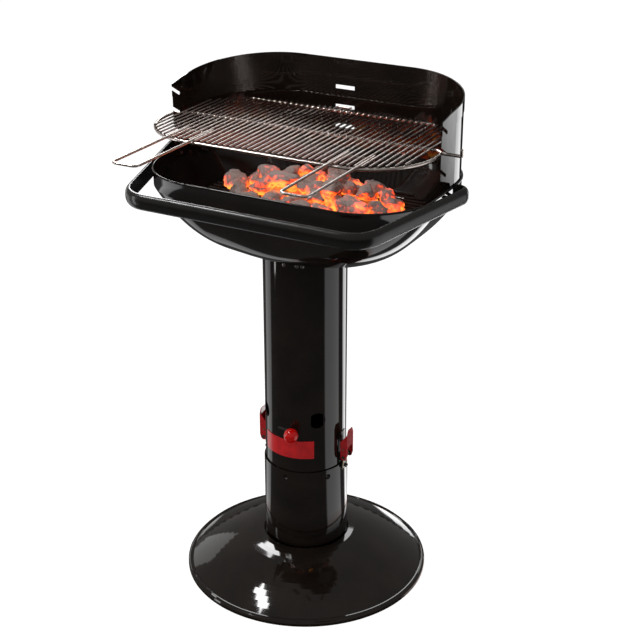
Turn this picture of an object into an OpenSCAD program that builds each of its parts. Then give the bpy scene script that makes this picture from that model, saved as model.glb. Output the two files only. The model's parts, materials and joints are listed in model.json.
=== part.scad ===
// Pedestal charcoal grill with a rounded rectangular fire bowl.
// Units are millimetres. Z is up, the floor is z = 0 and the column's axis is the Z axis.
// The front of the grill faces -Y.

/* [Foot] */
// Outer diameter of the pressed foot
foot_d = 500; // [440:5:560]
// Height of the foot where the dome meets the pot's seat
foot_h = 76; // [60:1:90]
// Height of the foot's upright edge
foot_edge_h = 8; // [6:0.5:12]
// Sheet thickness of the foot
foot_t = 1.5; // [1:0.1:2]
// Width of the face that the foot stands on
foot_rest_w = 3; // [2.2:0.1:4]
// Distance of the raised line from the outer edge
foot_line_in = 7; // [5:0.5:12]
// Height of the raised line above the upright edge
foot_line_h = 4; // [2:0.5:6]
// Depth of the recess that the pot stands in
foot_seat_depth = 9; // [5:0.5:12]

/* [Ash pot] */
// Outer diameter of the ash pot
pot_d = 170.4; // [168:0.2:180]
// Height of the ash pot
pot_h = 184.3; // [150:0.1:220]
// Wall thickness of the pot
pot_t = 1; // [0.8:0.1:1.4]
// Radius of the pot's bottom edge
pot_edge_r = 16; // [8:1:24]
// Distance of the dimples below the pot's mouth
dimple_drop = 15.3; // [14:0.1:24]
// How far each dimple reaches in from the pot's inner face
dimple_in = 4.5; // [3.5:0.1:6]
// Radius of the ball that presses a dimple
dimple_r = 7; // [6:0.5:9]
// Number of dimples round the pot
dimple_count = 6; // [4:2:8]

/* [Column] */
// Outer diameter of the column
column_d = 164.6; // [162:0.2:166]
// Wall thickness of the column
column_t = 1; // [0.8:0.1:1.4]
// Length of the column
column_l = 468.4; // [400:0.1:540]
// Diameter of the air holes
air_hole_d = 34; // [20:1:44]
// Height of the air holes above the column's lower edge
air_hole_up = 124.9; // [110:0.1:150]
// Angle of the air holes from the front
air_hole_angle = 45; // [35:1:50]
// Height of the damper slot above the column's lower edge
slot_up = 98.6; // [90:0.1:104]
// Height of the damper slot
damper_slot_h = 6.4; // [6.2:0.1:8]
// Angle of the slot's end from the front
damper_slot_angle = 16; // [14:0.5:20]

/* [Label plate] */
// Height of the plate
plate_h = 39; // [24:1:44]
// Height of the plate's lower edge above the column's lower edge
plate_up = 41.4; // [36:0.1:46]
// Angle of the plate's ends from the front
plate_angle = 40; // [24:1:60]
// Thickness of the plate
plate_t = 1; // [0.6:0.1:1.4]

/* [Damper] */
// Height of the damper ring
ring_h = 68; // [60:1:80]
// Wall thickness of the damper ring
ring_t = 0.8; // [0.6:0.1:1.2]
// Gap between the damper ring and the column
ring_gap = 0.3; // [0.2:0.05:0.5]
// Angle of the knob from the front at rest
knob_angle = 11.8; // [0:0.1:12]
// Diameter of the knob
knob_d = 29; // [22:1:32]
// Distance of the knob's centre from the column's wall
knob_out = 17.7; // [17:0.1:24]
// Diameter of the knob's stud
stud_d = 5.6; // [4:0.1:5.8]

/* [Latches] */
// Distance of the lever's pivot from the column's wall
pivot_out = 10.7; // [10.2:0.1:12]
// Height of the lever's pivot above the column's lower edge
pivot_up = 28.4; // [27:0.1:32]
// Height of the bail's pivot above the lever's pivot
bail_up = 18; // [17:0.5:19]
// Distance of the bail's pivot in from the lever's pivot
bail_in = 1; // [0.5:0.1:1.5]
// Height of the lever above its pivot
lever_h = 63; // [50:1:72]
// Width of the lever
lever_w = 26; // [26:0.5:30]
// Sheet thickness of the lever
lever_t = 1.2; // [1:0.1:1.4]
// Diameter of the bail's wire
bail_wire_d = 3.5; // [3:0.1:3.6]
// Distance between the centres of the bail's legs
bail_w = 15.5; // [15:0.1:15.6]
// Distance of the bail's foot from the pot's wall
bail_foot_out = 3.3; // [3.2:0.1:3.5]
// Distance of the bail's foot below the pot's mouth
bail_foot_drop = 7.3; // [7:0.1:7.6]
// Thickness of the hooks' sheet
hook_t = 1.2; // [1:0.1:1.4]
// Width of the hooks
hook_w = 11; // [8:0.5:11]
// Thickness of the brackets' sheet
bracket_t = 1.2; // [1:0.1:1.4]
// Diameter of the levers' pins
pin_d = 4; // [3:0.1:4.5]
// Diameter of the rivets
rivet_d = 4; // [3:0.1:5]

/* [Fire bowl] */
// Width of the bowl at its wall
bowl_w = 568; // [540:2:600]
// Distance of the bowl's front wall from the column's axis
bowl_front = 178; // [170:1:190]
// Distance of the bowl's back wall from the column's axis
bowl_back = 215; // [206:1:232]
// Radius of the bowl's front corners
bowl_corner_r = 132; // [120:1:150]
// Radius of the bowl's back corners
bowl_back_r = 165; // [130:1:170]
// Height of the bowl
bowl_h = 150; // [146:1:170]
// Height of the bowl's upright wall
bowl_wall_h = 33.3; // [30:0.1:40]
// Sheet thickness of the bowl
bowl_t = 1.2; // [1:0.1:1.6]
// Radius of the bowl's flat bottom
bowl_flat_r = 92; // [90:1:98]
// Radius of the rolled rim
rim_roll = 2.4; // [1.6:0.1:3]
// Height of the collar inside the column
collar_h = 27; // [22:1:40]
// Angles of the collar's screws from the front
collar_angles = [0, 18, 25, 120, 240];
// Diameter of the small screws
screw_d = 4; // [3:0.1:5]

/* [Bumper bar] */
// Height of the bar's section
bar_h = 31; // [26:1:34]
// Depth of the bar's section
bar_depth = 10; // [9:1:14]
// Wall thickness of the bar
bar_t = 1.6; // [1.2:0.1:2]
// Gap between the bar and the bowl's front wall
bar_front_gap = 62; // [40:1:70]
// Distance of the bar's front bends in from the bowl's side walls, to their centres
bar_corner_in = 82; // [78:1:90]
// Inner radius of the bar's front bends
bar_corner_r = 52; // [40:1:60]
// Angle at which the bar's legs spread apart
bar_spread = 15; // [14:0.5:16]
// Length of the bar's straight legs
bar_leg = 229; // [210:1:235]
// Slope of the bar, rising to the back
bar_slope = 3.4; // [2:0.1:3.5]
// Height of the bar's front below the bowl's rim
bar_drop = 24.6; // [24:0.1:30]
// Inner radius of the turned-in ends
bar_turn_r = 12; // [8:1:14]
// Diameter of the stand-offs
bar_post_d = 7; // [6:0.5:7]

/* [Wind shield] */
// Height of the shield's back above the bowl's rim
shield_back_h = 162; // [140:1:180]
// Height of the shield's front corners above the bowl's rim
shield_front_h = 138; // [132:1:150]
// Depth of the shield below the bowl's rim
shield_in = 15; // [12:1:16]
// Sheet thickness of the shield
shield_t = 1.2; // [1:0.1:1.5]
// Gap between the shield and the bowl
shield_gap = 0.5; // [0.5:0.05:0.7]
// Distance of the shield's front edges in front of the column's axis
shield_front_y = 14; // [6:1:20]
// Width of the pressed band along the shield's top
band_w = 25; // [15:1:30]
// How far the band stands out
band_out = 1; // [0.6:0.1:1.4]
// Height of the upper front slot above the bowl's rim
slot_top_up = 123; // [118:0.5:124]
// Height from one slot to the next
slot_pitch = 39.5; // [34:0.5:40]
// Number of grate heights
slot_count = 3; // [2:1:3]
// Slope of the front slots
slot_slope = 32; // [28:1:34]
// Reach of the front slots behind the shield's front edges
slot_reach = 22; // [18:0.5:26]
// Width of the back slots
back_slot_w = 42; // [36:1:50]
// Height of the back slots
back_slot_h = 8; // [7.6:0.1:11]
// Distance of the back slots to the left of the middle
back_slot_left = 25; // [0:1:30]

/* [Cooking grate] */
// Distance from one bar to the next
bar_pitch = 12.4; // [12:0.1:13]
// Number of bars
bar_count = 43; // [35:2:43]
// Diameter of the bars
grate_bar_d = 4; // [3:0.1:4.4]
// Diameter of the frame's wire
frame_wire_d = 6; // [5:0.1:6.2]
// Distance from the outermost bars to the frame's side wires
frame_beyond = 23.6; // [23:0.1:25]
// Distance of the frame's front wire from the column's axis
frame_front = 148; // [140:1:156]
// Corner radius of the frame
frame_corner_r = 128; // [90:1:134]
// Distance of the back rod from the column's axis
back_rod_y = 166; // [150:1:176]
// Half the length of the back rod
back_rod_half = 200; // [170:1:205]
// Corner radius of the outline that the bars' back ends follow
back_corner_r = 146; // [140:1:150]
// Distance of the middle rod's right end from the column's axis
arm_end = 312; // [300:1:330]
// Height of the hook at the middle rod's right end
arm_hook_h = 11; // [8:1:18]
// How far the middle rod bends back between the slots
rod_bow = 12; // [0:1:14]
// Sideways place of the grate in its slots
grate_side = -9; // [-10:0.5:-8]
// Diameter of the handles' wire
handle_wire_d = 5; // [4:0.1:5.4]
// Gap between bars that holds the handle's inner leg, counted from the middle
handle_gap_in = 11; // [9:1:12]
// Gap between bars that holds the handle's outer leg, counted from the middle
handle_gap_out = 15; // [14:1:16]
// How far the handle's legs stand out of the middle of their gaps
handle_spread = 1.4; // [0:0.1:1.5]
// Distance of the handles' ends from the column's axis
handle_front = 326; // [280:1:340]
// Distance of the handles' inner ties from the column's axis
handle_tie = 80; // [50:1:110]
// Corner radius of the handles
handle_r = 11; // [8:0.5:14]

/* [Fire] */
// Height of the charcoal grate's top above the bowl's bottom
fire_up = 82; // [74:1:90]
// Half the width of the charcoal grate
fire_half_w = 215; // [180:1:225]
// Half the depth of the charcoal grate
fire_half_d = 135; // [110:1:140]
// Diameter of the charcoal grate's bars
fire_bar_d = 5; // [4:0.5:6]
// Diameter of the charcoal grate's frame
fire_ring_d = 8; // [6:0.5:10]
// Distance from one bar of the charcoal grate to the next
fire_pitch = 16; // [14:1:22]
// Height of the heap of coals
heap_h = 58; // [40:1:62]
// Sideways place of the heap's middle
heap_x = -4; // [-10:1:20]
// Place of the heap's middle behind the column's axis
heap_y = 34; // [25:1:50]
// Half the width of the heap
heap_rx = 205; // [170:1:206]
// Half the depth of the heap
heap_ry = 126; // [100:1:128]
// Typical size of a coal
coal_d = 42; // [34:1:50]

/* [Hidden] */
$fn = 64;

// Shared clearances
seat_gap = 0.3;
weld_gap = 0.05;
hole_gap = 0.1;
fit_gap = 0.05;
cut = 1;
far = 2000;

// Foot and pot
foot_r = foot_d / 2;
pot_r = pot_d / 2;
column_r = column_d / 2;
seat_r = pot_r + 2 * seat_gap;
seat_z = foot_h - foot_seat_depth;
foot_round = 2;
foot_line_w = 2;
foot_steps = 14;
foot_curve = 1.6;
bolt_d = 8;
bolt_head_d = 13;
bolt_head_h = 5.3;
nut_h = 6.5;
nut_d = 15;
bolt_tail = 2;
mouth_z = seat_z + pot_h;
dimple_z = mouth_z - dimple_drop;
dimple_centre_r = pot_r - pot_t - dimple_in + dimple_r;

// Column
column_in = column_r - column_t;
column_z = dimple_z + sqrt(pow(dimple_r, 2) - pow(dimple_centre_r - column_r, 2)) + seat_gap;
bowl_z = column_z + column_l;
air_hole_z = column_z + air_hole_up;
slot_z = column_z + slot_up;
plate_z = column_z + plate_up;

// Damper
ring_r = column_in - ring_gap;
ring_in = ring_r - ring_t;
ring_below = 8;
ring_z = air_hole_z - ring_h / 2 - ring_below;
stud_z = slot_z + seat_gap + stud_d / 2;
stud_head_d = 11;
stud_head_h = 2;
knob_r = knob_d / 2;
knob_centre = column_r + knob_out;
stud_in_knob = 3;

// Latches
pivot_x = column_r + pivot_out;
pivot_z = column_z + pivot_up;
bail_x = pivot_x - bail_in;
bail_z = pivot_z + bail_up;
bail_foot_x = pot_r + bail_foot_out;
bail_foot_z = mouth_z - bail_foot_drop;
bail_wire_r = bail_wire_d / 2;
bail_half = bail_w / 2;
bail_side_gap = 0.4;
ear_in = bail_half + bail_wire_r + bail_side_gap;
ear_out = ear_in + 1.5;
ear_r = 5;
saddle_h = 66;
saddle_down = 14;
saddle_half_w = 13.5;
lever_half = lever_w / 2;
lever_in = lever_half - lever_t;
lever_end_r = 7;
lever_face = pivot_x + lever_end_r + 0.5;
lever_back = pivot_x - lever_end_r;
lever_deep_up = 34;
lever_side_up = 52;
lever_plate_up = 5;
lever_top_half = 8;
notch_up = 25;
pin_head_d = 7;
pin_head_h = 1.2;
hook_over = 0.55;
hook_reach = 4.6;
hook_lip = 2;
hook_saddle_half = 6.8;
hook_saddle_low = 15.3;
hook_saddle_top = 1.3;
rivet_head_d = 8;
rivet_head_h = 1;
bracket_rivet_up = [42, 56];
hook_rivet_drop = 12.3;

// Bowl
bowl_half_w = bowl_w / 2;
bowl_mid_y = (bowl_back - bowl_front) / 2;
bowl_half_d = (bowl_back + bowl_front) / 2;
rim_z = bowl_z + bowl_h;
band_z = rim_z - bowl_wall_h;
bowl_sink = bowl_h - bowl_wall_h;
collar_r = column_in - fit_gap;
collar_t = 1.2;
collar_flange_r = bowl_flat_r - 3;
bowl_hole_r = collar_r + 0.4;
bowl_in_r = bowl_hole_r - 6;
bowl_corner_steps = 14;
bowl_straight_steps = 4;
bowl_rings = 9;
bowl_power_r = 0.75;
bowl_power_z = 1.95;
screw_drop = 14;
screw_head_d = 7.5;
screw_head_h = 2.2;
screw_tail = 2;

// Bumper bar
bar_inner_y = -bowl_front - bar_front_gap;
bar_corner_x = bowl_half_w - bar_corner_in;
bar_corner_y = bar_inner_y + bar_corner_r;
bar_turn_x = bar_corner_x + (bar_corner_r - bar_turn_r) * cos(bar_spread) + bar_leg * sin(bar_spread);
bar_turn_y = bar_corner_y - (bar_corner_r - bar_turn_r) * sin(bar_spread) + bar_leg * cos(bar_spread);
bar_z = rim_z - bar_drop;
bar_end_x = bowl_half_w + rim_roll + seat_gap;
bar_cap = 2;
bar_seam = 0.1;
bar_bolt_d = 4;
bar_bolt_head_d = 8;
bar_bolt_head_h = 2.4;
bar_round = 0.8;
post_y = bar_turn_y + bar_turn_r + bar_depth / 2;
post_z = rim_z - shield_in - bar_bolt_head_d / 2 - 2 * seat_gap;
post_past = max(0, post_y + bar_bolt_head_d / 2 - bowl_back + bowl_back_r);
post_wall_x = bowl_half_w - bowl_back_r + sqrt(pow(bowl_back_r, 2) - pow(post_past, 2));

// Wind shield
shield_half_w = bowl_half_w - bowl_t - shield_gap;
shield_back = bowl_back - bowl_t - shield_gap;
shield_corner_r = bowl_back_r - bowl_t - shield_gap;
shield_back_z = rim_z + shield_back_h;
shield_front_z = rim_z + shield_front_h;
shield_low_z = rim_z - shield_in;
shield_slope_y = 17;
shield_nose_drop = 6;
shield_corner_y = shield_back - shield_corner_r;
slot_w = frame_wire_d + 2 * seat_gap;
rod_y = slot_reach - shield_front_y;
slot_end_z = [for (i = [0:slot_count - 1]) rim_z + slot_top_up - slot_pitch * i
    - (slot_reach + cut) * tan(slot_slope)];
grate_level = 1;
rod_z = slot_end_z[grate_level];
shield_screw_y = 5;
shield_screw_x = bowl_half_w - bowl_back_r - 14;
shield_screw_drop = 10.5;
shield_past = 10;
band_below = 3 * band_w;
shield_nut_h = 3;
shield_nut_d = 8;

// Cooking grate
frame_wire_r = frame_wire_d / 2;
frame_half_w = (bar_count - 1) / 2 * bar_pitch + frame_beyond;
frame_end_y = rod_y - 2 * frame_wire_r - weld_gap;
rod_bend_x = shield_half_w - 8;
rod_bend_l = 14;
grate_bar_r = grate_bar_d / 2;
handle_wire_r = handle_wire_d / 2;
grate_bar_z = rod_z + frame_wire_r + grate_bar_r + weld_gap;
bar_overhang = 2;
back_corner_x = frame_half_w - back_corner_r;
back_corner_y = back_rod_y + bar_overhang - back_corner_r;
handle_x_in = (handle_gap_in + 0.5) * bar_pitch - handle_spread;
handle_x_out = (handle_gap_out + 0.5) * bar_pitch + handle_spread;
handle_z = rod_z + frame_wire_r + handle_wire_r + weld_gap;
tie_z = grate_bar_z - grate_bar_r - handle_wire_r - weld_gap;
tie_over = 4;
tab_half = 14;
tab_past = 1;
tab_wire_r = 2.5;
tab_end_y = shield_back + tab_past - tab_wire_r;
tab_z = rod_z - frame_wire_r - tab_wire_r - weld_gap;
back_slot_z = tab_z - tab_wire_r - seat_gap;

// Fire
fire_bar_r = fire_bar_d / 2;
fire_ring_r = fire_ring_d / 2;
fire_top_z = bowl_z + fire_up;
fire_bar_z = fire_top_z - fire_bar_r;
fire_ring_z = fire_bar_z - fire_bar_r - fire_ring_r - weld_gap;
fire_corner_r = 90;
fire_mid_y = bowl_mid_y;
fire_leg = 61.5;
fire_leg_z = bowl_z + bowl_t + collar_t + seat_gap;
coal_seed = 11;
coal_seed_step = 37;
coal_lift = 8;
coal_stray = 3;
coal_ring_turn = 17;

// Turns a shape so that what points along +X points to an angle from the front
module at_front(angle) {
    rotate([0, 0, angle - 90])
        children();
}

// A round tube between two heights
module tube(r, t, z0, z1) {
    translate([0, 0, z0])
        difference() {
            cylinder(r = r, h = z1 - z0);
            translate([0, 0, -cut])
                cylinder(r = r - t, h = z1 - z0 + 2 * cut);
        }
}

// A piece of a tube's wall, centred on the +X direction
module wall_piece(r, t, z0, z1, half_angle) {
    rotate([0, 0, -half_angle])
        rotate_extrude(angle = 2 * half_angle)
            translate([r, z0])
                square([t, z1 - z0]);
}

// A round bar along +X from one distance to another
module radial_bar(d, x0, x1, z) {
    translate([x0, 0, z])
        rotate([0, 90, 0])
            cylinder(d = d, h = x1 - x0);
}

// A round bar along Y
module cross_bar(r, x, y0, y1, z) {
    translate([x, y0, z])
        rotate([-90, 0, 0])
            cylinder(r = r, h = y1 - y0);
}

// A straight wire in the XZ plane between two points
module wire_xz(r, x0, z0, x1, z1, y) {
    translate([x0, y, z0])
        rotate([0, atan2(x1 - x0, z1 - z0), 0])
            cylinder(r = r, h = norm([x1 - x0, z1 - z0]));
}

// A straight level wire between two points, with rounded ends
module wire_level(r, x0, y0, x1, y1) {
    translate([x0, y0, 0]) {
        sphere(r = r);
        rotate([0, 90, atan2(y1 - y0, x1 - x0)])
            cylinder(r = r, h = norm([x1 - x0, y1 - y0]));
    }
    translate([x1, y1, 0])
        sphere(r = r);
}

// A quarter of a wire bend, centred on a point and starting at an angle
module wire_bend(r, bend, x, y, z, start) {
    translate([x, y, z])
        rotate([0, 0, start])
            rotate_extrude(angle = 90)
                translate([bend, 0])
                    circle(r = r);
}

// Foot: points of the outer skin, with the direction of the inner skin
function foot_dome(i) = let (s = i / foot_steps,
        r0 = foot_r - foot_line_in - 3, r1 = seat_r + 3,
        z0 = foot_edge_h + foot_line_h - 1.5)
    [r0 - s * (r0 - r1), z0 + (foot_h - z0) * (1 - pow(1 - s, foot_curve)), -0.5];

foot_skin = concat(
    [[foot_r, foot_edge_h - foot_round, -1],
        [foot_r - foot_round, foot_edge_h, -1],
        [foot_r - foot_line_in + 3, foot_edge_h + 1, -1],
        [foot_r - foot_line_in + foot_line_w / 2, foot_edge_h + foot_line_h, -1],
        [foot_r - foot_line_in - foot_line_w / 2, foot_edge_h + foot_line_h, 0]],
    [for (i = [0:foot_steps]) foot_dome(i)],
    [[seat_r + 1, foot_h - 1, 0.5],
        [seat_r, foot_h - 2.5, 1],
        [seat_r, seat_z, 1]]);

module base_foot() {
    last = len(foot_skin) - 1;
    hole_r = bolt_d / 2 + hole_gap;
    color("#1a1614")
        rotate_extrude($fn = 96)
            polygon(concat(
                [[foot_r, 0]],
                [for (p = foot_skin) [p[0], p[1]]],
                [[hole_r, seat_z], [hole_r, seat_z - foot_t]],
                [for (i = [last:-1:0]) let (p = foot_skin[i]) [p[0] + p[2] * foot_t, p[1] - foot_t]],
                [[foot_r - foot_t, foot_rest_w], [foot_r - foot_rest_w, foot_rest_w - foot_t],
                    [foot_r - foot_rest_w, 0]]));
}

module pot_bolt() {
    top = seat_z + pot_t;
    color("#8a8a88") {
        translate([0, 0, top])
            cylinder(d = bolt_head_d, h = bolt_head_h, $fn = 6);
        translate([0, 0, seat_z - foot_t - nut_h - bolt_tail])
            cylinder(d = bolt_d, h = foot_t + nut_h + bolt_tail + pot_t + cut);
    }
}

module pot_nut() {
    color("#8a8a88")
        translate([0, 0, seat_z - foot_t - nut_h])
            difference() {
                cylinder(d = nut_d, h = nut_h, $fn = 6);
                translate([0, 0, -cut])
                    cylinder(d = bolt_d + 2 * fit_gap, h = nut_h + 2 * cut);
            }
}

// Ash pot with a rounded bottom edge and pressed dimples
module ash_pot() {
    arc_steps = 8;
    edge_z = seat_z + pot_edge_r;
    edge_x = pot_r - pot_edge_r;
    inner = pot_edge_r - pot_t;
    hole_r = bolt_d / 2 + hole_gap;
    color("#17120f")
        difference() {
            union() {
                rotate_extrude($fn = 96)
                    polygon(concat(
                        [[hole_r, seat_z]],
                        [for (i = [0:arc_steps]) let (a = i * 90 / arc_steps)
                            [edge_x + pot_edge_r * sin(a), edge_z - pot_edge_r * cos(a)]],
                        [[pot_r, mouth_z], [pot_r - pot_t, mouth_z]],
                        [for (i = [arc_steps:-1:0]) let (a = i * 90 / arc_steps)
                            [edge_x + inner * sin(a), edge_z - inner * cos(a)]],
                        [[hole_r, seat_z + pot_t]]));
                for (i = [0:dimple_count - 1])
                    at_front(i * 360 / dimple_count)
                        intersection() {
                            translate([dimple_centre_r, 0, dimple_z])
                                sphere(r = dimple_r);
                            translate([pot_r - pot_t / 2 - far, -far / 2, 0])
                                cube([far, far, far]);
                        }
            }
            for (i = [0:dimple_count - 1])
                at_front(i * 360 / dimple_count)
                    translate([dimple_centre_r, 0, dimple_z])
                        sphere(r = dimple_r - pot_t);
            for (side = [0, 180])
                rotate([0, 0, side])
                    radial_bar(rivet_d + 2 * fit_gap, pot_r - 2 * pot_t - cut, pot_r + cut,
                        mouth_z - hook_rivet_drop);
        }
}

// Hook on the pot for a latch, on the +X side
module catch_shape() {
    under_z = bail_foot_z + bail_wire_r + hook_over;
    lip_x = bail_foot_x + hook_reach;
    difference() {
        union() {
            wall_piece(pot_r, hook_t, mouth_z - hook_saddle_low, mouth_z - hook_saddle_top,
                asin(hook_saddle_half / pot_r));
            translate([pot_r + hook_t / 2, -hook_w / 2, under_z])
                cube([lip_x + hook_t - pot_r - hook_t / 2, hook_w, hook_t]);
            translate([lip_x, -hook_w / 2, under_z - hook_lip])
                cube([hook_t, hook_w, hook_lip + hook_t]);
        }
        radial_bar(rivet_d + 2 * fit_gap, pot_r - cut, pot_r + 2 * hook_t, mouth_z - hook_rivet_drop);
    }
}

module catch_rivets() {
    color("#6f6c69")
        for (side = [0, 180])
            rotate([0, 0, side]) {
                radial_bar(rivet_d, pot_r - pot_t - cut / 2, pot_r + hook_t, mouth_z - hook_rivet_drop);
                radial_bar(rivet_head_d, pot_r - pot_t - rivet_head_h - 2 * hole_gap,
                    pot_r - pot_t - 2 * hole_gap, mouth_z - hook_rivet_drop);
            }
}

module catch_right() {
    color("#1b1b1b")
        catch_shape();
}

module catch_left() {
    color("#1b1b1b")
        rotate([0, 0, 180])
            catch_shape();
}

// Column with its air holes, damper slot and screw holes
module column_tube() {
    color("#1a1513")
        difference() {
            tube(column_r, column_t, column_z, bowl_z);
            for (side = [-1, 1], turn = [0, 180])
                at_front(side * air_hole_angle + turn)
                    radial_bar(air_hole_d, column_in - cut, column_r + cut, air_hole_z);
            at_front(0)
                wall_piece(column_in - cut, column_t + 2 * cut, slot_z, slot_z + damper_slot_h,
                    damper_slot_angle);
            for (angle = collar_angles)
                at_front(angle)
                    radial_bar(screw_d + 2 * fit_gap, column_in - cut, column_r + cut,
                        bowl_z - screw_drop);
            for (side = [0, 180], up = bracket_rivet_up)
                rotate([0, 0, side])
                    radial_bar(rivet_d + 2 * fit_gap, column_in - cut, column_r + cut,
                        column_z + up);
        }
}

module label_plate() {
    color("#a81c1a")
        at_front(0)
            wall_piece(column_r + weld_gap, plate_t, plate_z, plate_z + plate_h, plate_angle);
}

// Bracket on the column that carries a lever, on the +X side
module bracket_shape() {
    difference() {
        union() {
            wall_piece(column_r, bracket_t, pivot_z - saddle_down, pivot_z - saddle_down + saddle_h,
                asin(saddle_half_w / column_r));
            for (side = [-1, 1])
                translate([0, side > 0 ? ear_out : -ear_in, 0])
                    rotate([90, 0, 0])
                        linear_extrude(height = ear_out - ear_in)
                            union() {
                                polygon([[column_r, pivot_z - 2 * ear_r], [column_r, pivot_z + 2 * ear_r],
                                    [pivot_x, pivot_z + ear_r], [pivot_x, pivot_z - ear_r]]);
                                translate([pivot_x, pivot_z])
                                    circle(r = ear_r);
                            }
        }
        cross_bar(pin_d / 2 + fit_gap, pivot_x, -ear_out - cut, ear_out + cut, pivot_z);
        for (up = bracket_rivet_up)
            radial_bar(rivet_d + 2 * fit_gap, column_r - cut, column_r + 2 * bracket_t, column_z + up);
    }
}

module bracket_right() {
    color("#161616")
        bracket_shape();
}

module bracket_left() {
    color("#161616")
        mirror([1, 0, 0])
            bracket_shape();
}

module bracket_rivets() {
    color("#555350")
        for (side = [0, 180], up = bracket_rivet_up)
            rotate([0, 0, side]) {
                radial_bar(rivet_d, column_in - cut / 2, column_r + bracket_t + cut, column_z + up);
                radial_bar(rivet_head_d, column_r + bracket_t, column_r + bracket_t + rivet_head_h,
                    column_z + up);
                radial_bar(rivet_head_d, column_in - rivet_head_h - 2 * hole_gap,
                    column_in - 2 * hole_gap, column_z + up);
            }
}

// The two short pins of a lever, on the +X side
module pins_shape() {
    head_y = lever_half + hole_gap;
    for (side = [0, 1])
        mirror([0, side, 0]) {
            cross_bar(pin_d / 2, pivot_x, ear_in, head_y + pin_head_h, pivot_z);
            cross_bar(pin_head_d / 2, pivot_x, head_y, head_y + pin_head_h, pivot_z);
        }
}

module pivot_pins_right() {
    color("#8a8a88")
        pins_shape();
}

module pivot_pins_left() {
    color("#8a8a88")
        mirror([1, 0, 0])
            pins_shape();
}

// Channel lever, on the +X side
module lever_shape() {
    top_z = pivot_z + lever_h;
    plate_low = pivot_z + lever_plate_up;
    side_z = pivot_z + lever_side_up;
    notch_r = ear_in;
    difference() {
        union() {
            for (side = [-1, 1])
                translate([0, side > 0 ? lever_half : -lever_in, 0])
                    rotate([90, 0, 0])
                        linear_extrude(height = lever_t)
                            union() {
                                polygon([[lever_face + lever_t, side_z], [lever_face, side_z],
                                    [lever_back, pivot_z + lever_deep_up], [lever_back, pivot_z],
                                    [pivot_x + lever_end_r, pivot_z],
                                    [lever_face + lever_t, plate_low]]);
                                translate([pivot_x, pivot_z])
                                    circle(r = lever_end_r);
                            }
            translate([lever_face, 0, 0])
                rotate([90, 0, 90])
                    linear_extrude(height = lever_t)
                        polygon([[-lever_half, plate_low], [lever_half, plate_low],
                            [lever_half, side_z], [lever_top_half, top_z],
                            [-lever_top_half, top_z], [-lever_half, side_z]]);
        }
        translate([lever_face - cut, -notch_r, plate_low - cut])
            cube([lever_t + 2 * cut, 2 * notch_r, pivot_z + notch_up - notch_r - plate_low + cut]);
        radial_bar(2 * notch_r, lever_face - cut, lever_face + lever_t + cut,
            pivot_z + notch_up - notch_r);
        cross_bar(pin_d / 2 + hole_gap, pivot_x, -lever_half - cut, lever_half + cut, pivot_z);
        cross_bar(bail_wire_r + hole_gap, bail_x, -lever_half - cut, lever_half + cut, bail_z);
    }
}

module lever_right() {
    color("#c21a17")
        lever_shape();
}

module lever_left() {
    color("#c21a17")
        mirror([1, 0, 0])
            lever_shape();
}

// Wire bail, on the +X side
module bail_shape() {
    end_y = lever_half + 1;
    cross_bar(bail_wire_r, bail_foot_x, -bail_half, bail_half, bail_foot_z);
    for (side = [0, 1])
        mirror([0, side, 0]) {
            wire_xz(bail_wire_r, bail_foot_x, bail_foot_z, bail_x, bail_z, bail_half);
            cross_bar(bail_wire_r, bail_x, bail_half, end_y, bail_z);
            for (p = [[bail_foot_x, bail_foot_z], [bail_x, bail_z]])
                translate([p[0], bail_half, p[1]])
                    sphere(r = bail_wire_r + weld_gap);
        }
}

module bail_right() {
    color("#b9a27a")
        bail_shape();
}

module bail_left() {
    color("#b9a27a")
        mirror([1, 0, 0])
            bail_shape();
}

// Damper: a ring inside the column, turned by a knob in the slot
module damper_ring() {
    color("#3a3532")
        difference() {
            tube(ring_r, ring_t, ring_z, ring_z + ring_h);
            for (side = [-1, 1], turn = [0, 180])
                at_front(side * air_hole_angle + turn)
                    radial_bar(air_hole_d, ring_in - cut, ring_r + cut, air_hole_z);
            at_front(knob_angle)
                radial_bar(stud_d + 2 * fit_gap, ring_in - cut, ring_r + cut, stud_z);
        }
}

module damper_stud() {
    head_x = sqrt(pow(ring_in, 2) - pow(stud_head_d / 2, 2)) - hole_gap;
    color("#9c9a97")
        at_front(knob_angle) {
            radial_bar(stud_head_d, head_x - stud_head_h, head_x, stud_z);
            radial_bar(stud_d, head_x - stud_head_h, knob_centre - stud_in_knob, stud_z);
        }
}

module damper_knob() {
    color("#b3130f")
        at_front(knob_angle)
            difference() {
                translate([knob_centre, 0, stud_z])
                    sphere(r = knob_r);
                radial_bar(stud_d + 2 * fit_gap, knob_centre - knob_r - cut,
                    knob_centre - stud_in_knob + fit_gap, stud_z);
            }
}

// Bowl: distance from the axis to the wall in a direction, for a rounded rectangle
function wall_reach(a) = let (c = cos(a), s = sin(a),
        r = s > 0 ? bowl_back_r : bowl_corner_r,
        depth = s > 0 ? bowl_back : bowl_front,
        side = abs(c) < 0.001 ? far : bowl_half_w / abs(c),
        end = abs(s) < 0.001 ? far : depth / abs(s),
        hit = min(side, end),
        cx = bowl_half_w - r,
        cy = depth - r,
        in_corner = abs(hit * c) > cx && abs(hit * s) > cy,
        b = abs(c) * cx + abs(s) * cy)
    in_corner ? b + sqrt(b * b - cx * cx - cy * cy + r * r) : hit;

// Directions of the points round one corner, from the side wall to the end wall
function corner_angles(depth, r) = [for (i = [0:bowl_corner_steps]) let (t = i * 90 / bowl_corner_steps)
    atan2(depth - r + r * sin(t), bowl_half_w - r + r * cos(t))];

// Directions of the points along an end wall, between its two corners
function end_angles(edge) = [for (i = [1:bowl_straight_steps - 1])
    edge + (180 - 2 * edge) * i / bowl_straight_steps];

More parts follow.
